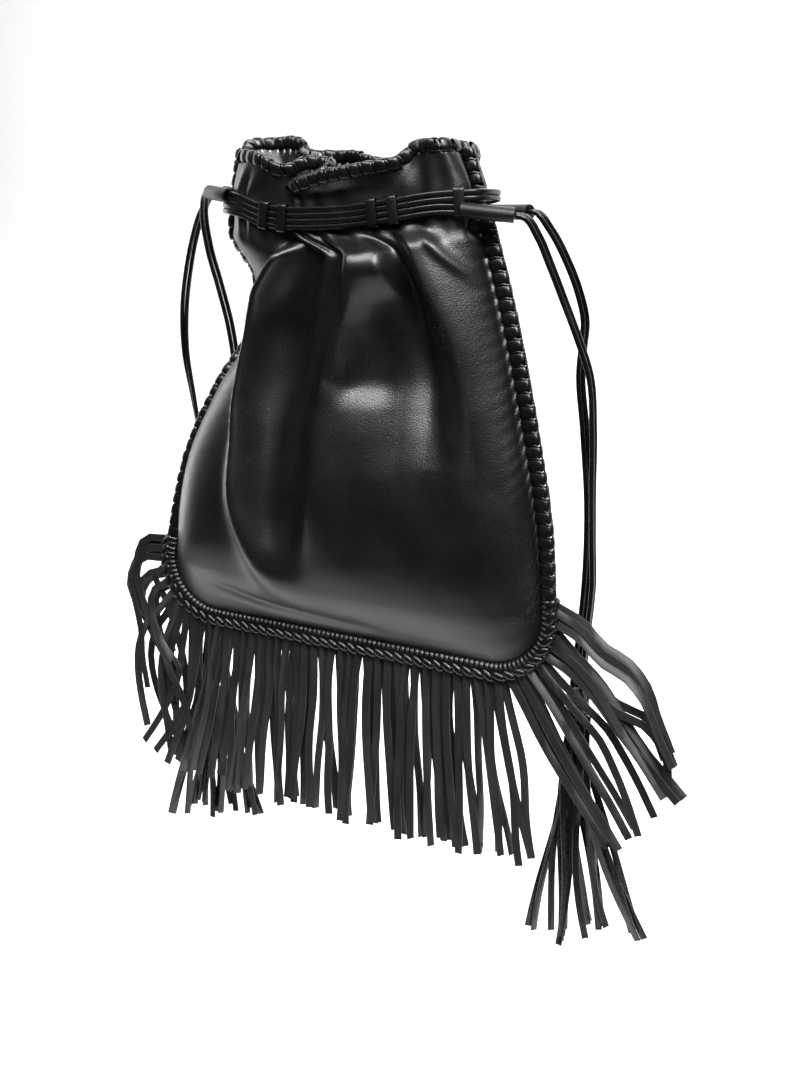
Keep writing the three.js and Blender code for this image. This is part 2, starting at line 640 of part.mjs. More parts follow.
// A hanging pair of thongs along its chosen route.
function strap(route) {
  const curve = new THREE.CatmullRomCurve3(route.map((point) => vec(...point)), false, "centripetal");
  const steps = Math.round(curve.getLength() / (2.8 * STRAP_DIAMETER));
  const section = new THREE.Shape(polygon(STRAP_DIAMETER / 2, 8));
  return new THREE.ExtrudeGeometry(section, { steps, extrudePath: curve, bevelEnabled: false });
}

// A tassel whose head's top is at the origin: a bound head and strips that fan out below it.
function tassel(salt) {
  const r = TASSEL_HEAD_DIAMETER / 2;
  const h = TASSEL_HEAD_LENGTH;
  const shape = [[0, -1], [0.9, -1], [1, -0.85], [0.92, -0.5], [1, -0.12], [0.86, 0], [0, 0]];
  const outline = shape.map(([out, up]) => new THREE.Vector2(out * r, up * h));
  const head = new THREE.LatheGeometry(outline, 10);
  head.rotateX(Math.PI / 2);
  const strips = [];
  for (let i = 0; i < TASSEL_STRIPS; i += 1) {
    const turn = (2 * Math.PI * i) / TASSEL_STRIPS;
    const fan = vec(Math.cos(turn), 0.35 * Math.sin(turn), 0);
    const length = TASSEL_LENGTH * (1 + 0.04 * scatter(i, salt));
    const start = fan.clone().multiplyScalar(0.5 * r).add(vec(0, 0, -0.6 * h));
    const points = [0, 0.5, 1].map((q) =>
      start.clone().addScaledVector(fan, TASSEL_SPREAD * q ** 1.4).add(vec(0, 0, -(length + 0.4 * h) * q)),
    );
    strips.push(strip(points, vec(1, 0.3 * scatter(i, salt + 1), 0), LOCK_WIDTH, STRIP_THICKNESS));
  }
  return fuse([head, ...strips]);
}

// A keeper: a flat loop round all four thongs at a share of the neck's width.
function keeper() {
  const inHeight = 4 * THONG_HEIGHT + 6 * GAP;
  const inDepth = THONG_THICKNESS + 4 * GAP;
  const box = (w, d, h) => new THREE.BoxGeometry(w, d, h);
  const outer = toSolid(box(KEEPER_WIDTH, inDepth + 2 * KEEPER_WALL, inHeight + 2 * KEEPER_WALL));
  const inner = toSolid(box(2 * KEEPER_WIDTH, inDepth, inHeight));
  return fromSolid(outer.subtract(inner));
}

const FRONT_KEEPERS = [-0.55, -0.4, 0.29, 0.44, 0.78];
const BACK_KEEPERS = [-0.6, -0.36, -0.2, 0.36, 0.52];

const bag = new THREE.Group();

function add(name, geometry, finish) {
  const mesh = new THREE.Mesh(geometry, new THREE.MeshStandardMaterial(finish));
  mesh.name = name;
  bag.add(mesh);
  return mesh;
}

add("front_panel", panel(FRONT), LEATHER);
add("back_panel", panel(BACK), LEATHER);
add("side_lacing_left", sideLacing(-1), LACE);
add("side_lacing_right", sideLacing(1), LACE);
add("rim_lacing_front", rimLacing(FRONT), LACE);
add("rim_lacing_back", rimLacing(BACK), LACE);
add("fringe_left", fringe(0, 0.22), SUEDE);
add("fringe_bottom", fringe(0.22, 0.78), SUEDE);
add("fringe_right", fringe(0.78, 1), SUEDE);
add("neck_thongs_upper", neckThongs(-1), LACE);
add("neck_thongs_lower", neckThongs(1), LACE);

for (const [face, name, shares] of [[FRONT, "front", FRONT_KEEPERS], [BACK, "back", BACK_KEEPERS]]) {
  shares.forEach((share, i) => {
    const angle = Math.acos(Math.sign(share) * share * share);
    const place = neckRun(face.side < 0 ? angle : -angle, 0);
    const near = neckRun(face.side < 0 ? angle - 0.02 : -angle + 0.02, 0);
    const mesh = add(`keeper_${name}_${i + 1}`, keeper(), LACE);
    mesh.position.copy(place);
    const run = near.clone().sub(place).normalize();
    mesh.rotation.set(0, -Math.atan2(run.z, Math.hypot(run.x, run.y)), Math.atan2(run.y, run.x), "ZYX");
  });
}

for (const sleeve of SLEEVES) {
  const start = sleeveStart(sleeve.side, sleeve.face);
  const run = sleeveEnd(sleeve).sub(start);
  const mesh = add(sleeve.name, sleeveTube(run.length()), LEATHER);
  mesh.position.copy(start);
  mesh.quaternion.setFromUnitVectors(vec(0, 0, 1), run.clone().normalize());
}

for (const [name, route] of Object.entries(STRAP_ROUTES)) add(name, strap(route), LACE);

for (const [name, salt] of [["right", 11], ["left", 17]]) {
  const [a, b] = [`strap_${name}_front`, `strap_${name}_back`].map((key) => vec(...STRAP_ROUTES[key].at(-1)));
  const mesh = add(`tassel_${name}`, tassel(salt), SUEDE);
  mesh.position.copy(a.add(b).multiplyScalar(0.5)).add(vec(0, 0, -2 * GAP));
}

export default bag;
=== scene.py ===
"""The looks of a soft black leather drawstring bag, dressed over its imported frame.

Metres, +Z up, the front towards -Y. A table in millimetres says so.
"""

import logging
import math
from dataclasses import dataclass, field
from enum import Enum

import bpy
import numpy as np
from mathutils import Matrix, Vector


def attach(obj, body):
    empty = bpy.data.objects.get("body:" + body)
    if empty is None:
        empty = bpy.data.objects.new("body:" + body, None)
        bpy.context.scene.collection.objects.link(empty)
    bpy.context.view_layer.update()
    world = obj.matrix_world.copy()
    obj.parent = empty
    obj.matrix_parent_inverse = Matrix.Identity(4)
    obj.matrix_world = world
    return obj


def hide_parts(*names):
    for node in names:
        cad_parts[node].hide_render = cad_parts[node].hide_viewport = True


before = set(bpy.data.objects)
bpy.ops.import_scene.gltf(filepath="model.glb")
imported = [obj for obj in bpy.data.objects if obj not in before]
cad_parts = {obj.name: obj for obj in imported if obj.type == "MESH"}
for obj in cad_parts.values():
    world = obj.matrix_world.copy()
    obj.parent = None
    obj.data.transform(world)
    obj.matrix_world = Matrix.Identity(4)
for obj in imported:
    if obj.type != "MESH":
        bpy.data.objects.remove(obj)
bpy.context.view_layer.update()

log = logging.getLogger("bag")
Array = np.ndarray
Faces = list[tuple[int, ...]]

MM = 1000.0
DEFAULT_SHARP = 50.0
TINY = 1e-12
UP = np.array([0.0, 0.0, 1.0])
REAR = np.array([0.0, 1.0, 0.0])


def ease(share: Array | float) -> Array:
    """Turn a share of 0 to 1, cut off past both ends, into one that starts and ends gently."""
    q = np.clip(share, 0.0, 1.0)
    return q * q * (3 - 2 * q)


def mix(a: Array | float, b: Array | float, share: Array | float) -> Array:
    """Return the value that lies at a share of the way from a to b."""
    return a + (b - a) * share


def scatter(index: float, salt: float) -> float:
    """Return a value between -1 and 1 that looks random and is the same each time."""
    wave = math.sin(index * 12.9898 + salt * 78.233) * 43758.5453
    return 2 * (wave - math.floor(wave)) - 1


def unit(vectors: Array) -> Array:
    """Return vectors at length one."""
    return vectors / np.maximum(np.linalg.norm(vectors, axis=-1, keepdims=True), TINY)


def tangents(path: Array) -> Array:
    """Return the directions in which a path runs at its points."""
    return unit(np.gradient(path, axis=0))


def signed_power(values: Array, power: float) -> Array:
    """Return values raised to a power, with their signs kept."""
    return np.sign(values) * np.abs(values) ** power


def cubic(a: Array, b: Array, slope_a: Array, slope_b: Array, gap: Array, t: Array) -> Array:
    """Return the values at shares t of the way on smooth curves from a to b, whose places lie a gap apart."""
    curve = a * (2 * t**3 - 3 * t**2 + 1) + b * (3 * t**2 - 2 * t**3)
    return curve + gap * (slope_a * (t**3 - 2 * t**2 + t) + slope_b * (t**3 - t**2))


class Profile:
    """A smooth function through a short table's points, with no overshoot."""

    def __init__(self, *points: tuple[float, float]) -> None:
        """Keep the table and work out its slopes.

        Args:
            points: Pairs of a place and the value there, with the places rising.
        """
        self.x = np.array([point[0] for point in points], float)
        self.y = np.array([point[1] for point in points], float)
        slope = np.diff(self.y) / np.diff(self.x)
        self.tilt = np.zeros(len(points))
        self.tilt[0], self.tilt[-1] = slope[0], slope[-1]
        for i, (a, b) in enumerate(zip(slope[:-1], slope[1:]), 1):
            self.tilt[i] = 0.0 if a * b <= 0 else 2 * a * b / (a + b)

    def __call__(self, at: Array | float) -> Array:
        """Return the values at places, held flat past both ends of the table."""
        q = np.clip(at, self.x[0], self.x[-1])
        k = np.clip(np.searchsorted(self.x, q, side="right") - 1, 0, len(self.x) - 2)
        gap = self.x[k + 1] - self.x[k]
        return cubic(self.y[k], self.y[k + 1], self.tilt[k], self.tilt[k + 1], gap, (q - self.x[k]) / gap)


def column(rows: list[tuple[float, ...]], place: int, scale: float = 1.0) -> Profile:
    """Return the function that one column of a table gives, with the places in its first column."""
    return Profile(*[(row[0], row[place] / scale) for row in rows])


def lengths_along(path: Array) -> Array:
    """Return the distance from a path's start to each of its points."""
    return np.concatenate([[0.0], np.cumsum(np.linalg.norm(np.diff(path, axis=0), axis=1))])


def evenly(path: Array, count: int) -> Array:
    """Return count + 1 points at even distances along a path."""
    far = lengths_along(path)
    goals = np.linspace(0, far[-1], count + 1)
    return np.stack([np.interp(goals, far, path[:, i]) for i in range(3)], axis=1)


def smooth_path(points: Array, spacing: float) -> Array:
    """Draw a smooth path through chosen points.

    Args:
        points: The points, at least three.
        spacing: The distance between the path's points, in metres.

    Returns:
        The path's points, evenly spaced.
    """
    p = np.asarray(points, float)
    far = lengths_along(p)
    slope = np.gradient(p, far, axis=0)
    steps_between = 30
    fine = np.linspace(0, far[-1], steps_between * len(p))
    k = np.clip(np.searchsorted(far, fine, side="right") - 1, 0, len(far) - 2)
    gap = (far[k + 1] - far[k])[:, None]
    curve = cubic(p[k], p[k + 1], slope[k], slope[k + 1], gap, (fine - far[k])[:, None] / gap)
    return evenly(curve, max(2, round(lengths_along(curve)[-1] / spacing)))


def rounded_outline(width: float, thickness: float, corner: float, steps: int = 2) -> Array:
    """Return the outline of a flat strip's section, anticlockwise, with round corners.

    Args:
        width: Its broad way.
        thickness: Its thin way.
        corner: The corner radius.
        steps: How many faces each corner takes.

    Returns:
        An array of points, the broad way first.
    """
    turns = []
    for quarter, (sx, sy) in enumerate([(1, 1), (-1, 1), (-1, -1), (1, -1)]):
        for i in range(steps + 1):
            angle = (quarter + i / steps) * math.pi / 2
            x = sx * (width / 2 - corner) + corner * math.cos(angle)
            y = sy * (thickness / 2 - corner) + corner * math.sin(angle)
            turns.append((x, y))
    return np.array(turns)


def sweep(path: Array, broad: Array, outline: Array) -> tuple[Array, Faces]:
    """Carry an outline along a path.

    Args:
        path: The path's points.
        broad: The direction of the outline's broad way, one vector or one for each point.
        outline: The outline's points.

    Returns:
        The points and the faces of a closed solid.
    """
    along = tangents(path)
    flat = unit(np.cross(along, np.broadcast_to(broad, path.shape)))
    side = np.cross(flat, along)
    points = path[:, None] + outline[:, :1] * side[:, None] + outline[:, 1:] * flat[:, None]
    count = len(outline)
    last = (len(path) - 1) * count
    faces: Faces = []
    for a in range(0, last, count):
        for j in range(count):
            k = (j + 1) % count
            faces.append((a + j, a + k, a + count + k, a + count + j))
    faces.append(tuple(range(count - 1, -1, -1)))
    faces.append(tuple(range(last, last + count)))
    return points.reshape(-1, 3), faces


@dataclass
class Shape:
    """A small mesh that is modelled once and then copied, each copy with its own points."""

    points: Array
    faces: Faces

    @classmethod
    def from_active(cls) -> "Shape":
        """Take the active object's mesh and remove the object."""
        piece = bpy.context.active_object
        points = np.array([tuple(piece.matrix_world @ v.co) for v in piece.data.vertices])
        faces = [tuple(face.vertices) for face in piece.data.polygons]
        bpy.data.objects.remove(piece, do_unlink=True)
        return cls(points, faces)

    @classmethod
    def ring(cls, around: int, section: int, thickness: float) -> tuple["Shape", Array, Array]:
        """Take a plain ring of radius one.

        Args:
            around: How many faces it has around.
            section: How many faces its section has.
            thickness: The radius of its section.

        Returns:
            The ring, and each point's angle around it and in its section.
        """
        bpy.ops.mesh.primitive_torus_add(
            major_segments=around, minor_segments=section, major_radius=1.0, minor_radius=thickness
        )
        shape = cls.from_active()
        x, y, z = shape.points.T
        return shape, np.arctan2(y, x), np.arctan2(z, np.hypot(x, y) - 1)

    def placed(self, origin: Array, x_way: Array, y_way: Array, z_way: Array) -> Array:
        """Return the points turned to three directions and moved to an origin."""
        return origin + self.points @ np.stack([x_way, y_way, z_way])


class Pile:
    """Meshes that are gathered into one piece."""

    def __init__(self) -> None:
        """Start with nothing in the pile."""
        self.points: list[Array] = []
        self.faces: Faces = []
        self.kinds: list[int] = []
        self.count = 0

    def add(self, points: Array, faces: Faces, kind: int = 0) -> None:
        """Add one mesh to the pile.

        Args:
            points: Its points.
            faces: Its faces, numbered from its own first point.
            kind: The place of its finish in the piece's list.
        """
        self.points.append(points)
        self.faces += [tuple(index + self.count for index in face) for face in faces]
        self.kinds += [kind] * len(faces)
        self.count += len(points)

    def add_strip(self, path: Array, broad: Array, outline: Array, kind: int = 0) -> None:
        """Add an outline carried along a path, as sweep makes it."""
        self.add(*sweep(path, broad, outline), kind)

    def make(self, name: str, finishes: list[bpy.types.Material], sharp: float = DEFAULT_SHARP) -> bpy.types.Object:
        """Make the piece, with its edges past an angle in degrees left sharp."""
        return new_piece(name, np.concatenate(self.points), self.faces, finishes, self.kinds, sharp)


def new_piece(
    name: str,
    points: Array,
    faces: Faces,
    finishes: list[bpy.types.Material],
    kinds: list[int] | None = None,
    sharp: float = DEFAULT_SHARP,
) -> bpy.types.Object:
    """Make a mesh object at the origin.

    Args:
        name: The object's name.
        points: The mesh's points.
        faces: The mesh's faces.
        finishes: The object's materials.
        kinds: The material of each face, or None where there is one.
        sharp: The angle, in degrees, past which an edge isn't smoothed.

    Returns:
        The object, alone selected.
    """
    mesh = bpy.data.meshes.new(name)
    mesh.from_pydata(points.tolist(), [], faces)
    for finish in finishes:
        mesh.materials.append(finish)
    if kinds is not None:
        mesh.polygons.foreach_set("material_index", kinds)
    mesh.update()
    piece = bpy.data.objects.new(name, mesh)
    bpy.context.collection.objects.link(piece)
    bpy.ops.object.select_all(action="DESELECT")
    piece.select_set(True)
    bpy.context.view_layer.objects.active = piece
    bpy.ops.object.shade_smooth_by_angle(angle=math.radians(sharp))
    return piece


def dress(piece: bpy.types.Object, node: str) -> bpy.types.Object:
    """Set a piece on the body root, let it stand for a CAD node and return it."""
    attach(piece, "root")
    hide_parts(node)
    log.info("%s: %d faces", piece.name, len(piece.data.polygons))
    return piece


class Recipe:
    """A material under construction."""

    def __init__(self, name: str) -> None:
        """Start a material, with its shader and its output."""
        self.material = bpy.data.materials.new(name)
        self.material.use_nodes = True
        self.tree = self.material.node_tree
        self.shader = self.tree.nodes["Principled BSDF"]

    def node(self, kind: str, settings: dict | None = None, inputs: dict | None = None) -> bpy.types.Node:
        """Add a node.

        Args:
            kind: The node's type, without its prefix.
            settings: Its own settings, set first.
            inputs: The values or links of its sockets, by name or number.

        Returns:
            The node.
        """
        made = self.tree.nodes.new(f"ShaderNode{kind}")
        for key, value in (settings or {}).items():
            setattr(made, key, value)
        for key, value in (inputs or {}).items():
            self.feed(made.inputs[key], value)
        return made

    def feed(self, socket: bpy.types.NodeSocket, value: object) -> None:
        """Give a socket a value or a link."""
        if isinstance(value, Signal):
            self.tree.links.new(value.socket, socket)
        else:
            socket.default_value = value

    def finish(self, inputs: dict) -> bpy.types.Material:
        """Feed the shader's inputs, by name, and return the material."""
        for key, value in inputs.items():
            self.feed(self.shader.inputs[key], value)
        return self.material

    def signal(self, node: bpy.types.Node, output: str | int = 0) -> "Signal":
        """Return a node's output as a signal."""
        return Signal(self, node.outputs[output])

    def place(self) -> "Signal":
        """Return the place on the object."""
        return self.signal(self.node("TexCoord"), "Object")

    def noise(self, scale: float, detail: float) -> "Signal":
        """Return soft noise, from 0 to 1, with a number of swells a metre."""
        inputs = {"Vector": self.place(), "Scale": scale, "Detail": detail}
        return self.signal(self.node("TexNoise", {}, inputs), "Fac")


class Signal:
    """A shader socket that takes part in plain sums."""

    def __init__(self, recipe: Recipe, socket: bpy.types.NodeSocket) -> None:
        """Wrap an output socket of a material."""
        self.recipe = recipe
        self.socket = socket

    def math(self, operation: str, a: object, b: object) -> "Signal":
        """Return the outcome of one sum."""
        return self.recipe.signal(self.recipe.node("Math", {"operation": operation}, {0: a, 1: b}))

    def __add__(self, other: object) -> "Signal":
        """Add."""
        return self.math("ADD", self, other)

    __radd__ = __add__

    def __mul__(self, other: object) -> "Signal":
        """Multiply."""
        return self.math("MULTIPLY", self, other)

    __rmul__ = __mul__

    def __sub__(self, other: object) -> "Signal":
        """Subtract."""
        return self.math("SUBTRACT", self, other)

    def __rsub__(self, other: object) -> "Signal":
        """Subtract this from a value."""
        return self.math("SUBTRACT", other, self)

    def between(self, low: float, high: float) -> "Signal":
        """Return a share that goes from 0 at low to 1 at high."""
        inputs = {"Value": self, "From Min": low, "From Max": high}
        return self.recipe.signal(self.recipe.node("MapRange", {"clamp": True}, inputs))


@dataclass(frozen=True)
class LeatherFinish:
    """A leather's look: its tones, its gloss, and the size and height of its grain and its waves."""

    name: str
    dark: tuple[float, float, float] = (0.0014, 0.0014, 0.0016)
    light: tuple[float, float, float] = (0.0034, 0.0034, 0.0038)
    roughness: float = 0.35
    roughness_spread: float = 0.1
    pebble_gloss: float = 0.12
    shine: float = 0.5
    grain: float = 900.0
    grain_height: float = 0.00013
    wave: float = 120.0
    wave_height: float = 0.00013
    cloud: float = 26.0

    def build(self) -> bpy.types.Material:
        """Make the material, with its colour, gloss and grain from nodes."""
        recipe = Recipe(self.name)
        inputs = {"Vector": recipe.place(), "Scale": self.grain, "Smoothness": 0.6}
        pebble = recipe.signal(recipe.node("TexVoronoi", {"feature": "SMOOTH_F1"}, inputs), "Distance")
        cloud = recipe.noise(self.cloud, 3.0)
        fine = recipe.noise(self.grain * 0.7, 2.0)
        wave = recipe.noise(self.wave, 3.0)
        share = (cloud * 0.6 + fine * 0.4).between(0.3, 0.7)
        tones = {0: share, 6: (*self.dark, 1.0), 7: (*self.light, 1.0)}
        colour = recipe.node("Mix", {"data_type": "RGBA"}, tones)
        gloss = self.roughness + (cloud - 0.5) * (2 * self.roughness_spread) + (pebble - 0.4) * self.pebble_gloss
        height = wave * self.wave_height + (1 - pebble) * self.grain_height
        bump = recipe.node("Bump", {}, {"Height": height, "Distance": 1.0, "Strength": 1.0})
        return recipe.finish(
            {
                "Base Color": recipe.signal(colour, 2),
                "Roughness": gloss,
                "Normal": recipe.signal(bump),
                "Specular IOR Level": self.shine,
            }
        )


@dataclass(frozen=True)
class PaleFinish:
    """The floor's plain pale surface."""

    name: str = "pale_floor"
    shade: float = 0.92

    def build(self) -> bpy.types.Material:
        """Make the material."""
        recipe = Recipe(self.name)
        tone = recipe.noise(3.0, 2.0).between(0.2, 0.8) * 0.01 + self.shade
        colour = recipe.node("CombineColor", {}, {0: tone, 1: tone, 2: tone})
        return recipe.finish({"Base Color": recipe.signal(colour), "Roughness": 0.9, "Specular IOR Level": 0.1})


LEATHERS = {
    "panel": LeatherFinish("nappa"),
    "lace": LeatherFinish(
        "lace_leather",
        roughness=0.28,
        shine=0.38,
        grain=1300.0,
        grain_height=0.00008,
        wave=300.0,
        wave_height=0.0001,
    ),
    "thong": LeatherFinish(
        "thong_leather",
        roughness=0.25,
        shine=0.35,
        grain=1500.0,
        grain_height=0.00005,
        wave=200.0,
        wave_height=0.00012,
    ),
    "sleeve": LeatherFinish("sleeve_leather", roughness=0.42, shine=0.3),
    "strip": LeatherFinish(
        "strip_leather",
        dark=(0.005, 0.005, 0.0054),
        light=(0.011, 0.011, 0.0118),
        roughness=0.45,
        shine=0.35,
        grain=1100.0,
        grain_height=0.0001,
        wave=90.0,
        wave_height=0.0002,
    ),
}


@dataclass
class Finishes:
    """Every finish of the bag."""

    panel: bpy.types.Material
    lace: bpy.types.Material
    thong: bpy.types.Material
    sleeve: bpy.types.Material
    strip: bpy.types.Material

    @classmethod
    def build(cls) -> "Finishes":
        """Make each finish once."""
        return cls(**{use: leather.build() for use, leather in LEATHERS.items()})


class Face(Enum):
    """The two panels, by the way that they face."""

    FRONT = -1
    BACK = 1


@dataclass
class Fold:
    """A fold that runs down a panel.

    Each row gives the share along the fold, the share across it where its middle lies, its height in metres,
    and its reach to both sides, in shares.
    """

    rows: list[tuple[float, float, float, float, float]]
    crisp: float = 1.5
    blunt: float = 0.02
    lead: float = 0.03
    fade: float = 0.05
    fall: float = 1.6

    def lift(self, along: Array, aside: Array) -> Array:
        """Return the fold's height at shares along it and aside."""
        line, height, near, far = (column(self.rows, place) for place in range(1, 5))
        away = aside - line(along)
        reach = np.where(away < 0, near(along), far(along))
        u = np.sqrt((away / reach) ** 2 + self.blunt) - self.blunt**0.5
        first, last = self.rows[0][0], self.rows[-1][0]
        inside = ease((along - first + self.lead) / self.fade) * ease((last - along + self.lead) / self.fade)
        return height(along) * np.exp(-(u**self.crisp) * self.fall) * inside

    def rise(self, across: Array, down: Array) -> Array:
        """Return how far the fold lifts the panel at places on it."""
        return self.lift(down, across)

    def hold(self, down: Array) -> Array:
        """Return the share of the fold that is left near the thongs and the bottom seam."""
        return ease(down / 0.02) * ease((1 - down) / 0.16)


@dataclass
class Crease(Fold):
    """A crease that runs across a panel, with a fold's table."""

    crisp: float = 1.4
    blunt: float = 0.01
    lead: float = 0.04
    fade: float = 0.08

    def rise(self, across: Array, down: Array) -> Array:
        """Return how far the crease lifts the panel at places on it, less than nothing in a crease."""
        return self.lift(across, down)

    def hold(self, down: Array) -> Array:
        """Return the share of the crease that is left near the thongs."""
        return ease(down / 0.07)


@dataclass
class BagForm:
    """The bag's sizes and the shape that its leather hangs in."""

    width: float = 0.380
    drop: float = 0.356
    corner: float = 0.052
    neck_width: float = 0.242
    neck_depth: float = 0.054
    rim_height: float = 0.060
    left_top: float = 0.0545
    right_top: float = 0.0575
    knot_rise: float = 0.068
    wall: float = 0.0016
    flange: float = 0.0095
    band_half: float = 0.0115
    widths: Profile = Profile((0, -0.33), (0.17, 0), (0.36, 0.33), (0.59, 0.65), (0.81, 0.9), (1, 1))
    left_inward: Profile = Profile(
        (0, -0.1), (0.2, 0.02), (0.31, 0.16), (0.42, 0.2), (0.57, 0.1), (0.73, 0.03), (1, -0.02)
    )
    left_back: Profile = Profile((0, -0.04), (0.2, 0), (0.31, 0.25), (0.42, 0.32), (0.57, 0.17), (0.73, 0.07), (1, 0))

    def __post_init__(self) -> None:
        """Work out the sizes that follow from the others."""
        self.half_body = self.width / 2
        self.half_neck = self.neck_width / 2
        self.neck_out = self.neck_depth / 2
        self.corner_x = self.half_body - self.corner
        self.corner_z = self.corner - self.drop
        self.seam_drop = self.rim_height - self.corner_z

    def drop_share(self, z: Array | float) -> Array:
        """Return the share of the way from the rim's top down to the corner."""
        return np.clip((self.rim_height - z) / self.seam_drop, 0, 1)

    def half_width(self, z: Array | float) -> Array:
        """Return half the body's width at a height."""
        return self.half_neck + (self.half_body - self.half_neck) * self.widths(self.drop_share(z))

    def seam_point(self, side: int, z: Array | float) -> Array:
        """Return points of the side seam at heights.

        Args:
            side: -1 for the left seam, 1 for the right.
            z: The heights.

        Returns:
            The points.
        """
        z = np.asarray(z, float)
        half = self.half_width(z)
        if side > 0:
            return np.stack([half, 0 * z, z], axis=-1)
        share = self.drop_share(z)
        lean = self.half_neck * self.left_inward(share)
        return np.stack([lean - half, self.half_neck * self.left_back(share), z], axis=-1)

    def seam_top(self, side: int) -> float:
        """Return the height of the side seam's top."""
        return self.left_top if side < 0 else self.right_top

    def bottom_seam(self) -> Array:
        """Return the bottom seam's line, from the left side's first knot round to the right side's."""
        rises = self.corner_z + (self.knot_rise - self.corner) * np.arange(1, 5) / 4
        turns = np.linspace(0, math.pi / 2, 25)
        out, down, zero = self.corner * np.cos(turns), self.corner * np.sin(turns), 0 * turns
        left_arc = np.stack([-self.corner_x - out, zero, self.corner_z - down], axis=1)
        right_arc = np.stack([self.corner_x + down, zero, self.corner_z - out], axis=1)
        across = np.linspace(-self.corner_x, self.corner_x, 40)[1:-1]
        flat = np.stack([across, 0 * across, 0 * across - self.drop], axis=1)
        shift = self.seam_point(-1, self.corner_z) + np.array([self.half_body, 0, -self.corner_z])
        left_arc = left_arc + np.outer(np.cos(turns), shift)
        left, right = self.seam_point(-1, rises[::-1]), self.seam_point(1, rises)
        return np.concatenate([left, left_arc, flat, right_arc, right])


FRONT_BAND = Profile(
    (-1, 0.37), (-0.8, 0.28), (-0.58, 0.02), (-0.38, -0.07), (0, 0), (0.42, 0.26), (0.72, 0.48), (1, 0.6)
)
BACK_BAND = Profile((-1, 0.37), (-0.4, 0.1), (0.4, 0.22), (1, 0.6))


@dataclass
class PanelShape:
    """One panel's own table of gathers, rim and folds.

    The rows of rim and neck give the share across and then a place in millimetres: x, y and, for the rim, z.
    """

    face: Face
    band: Profile
    rim: list[tuple[float, float, float, float]]
    neck: list[tuple[float, float, float]]
    belly: Profile
    folds: list[Fold]


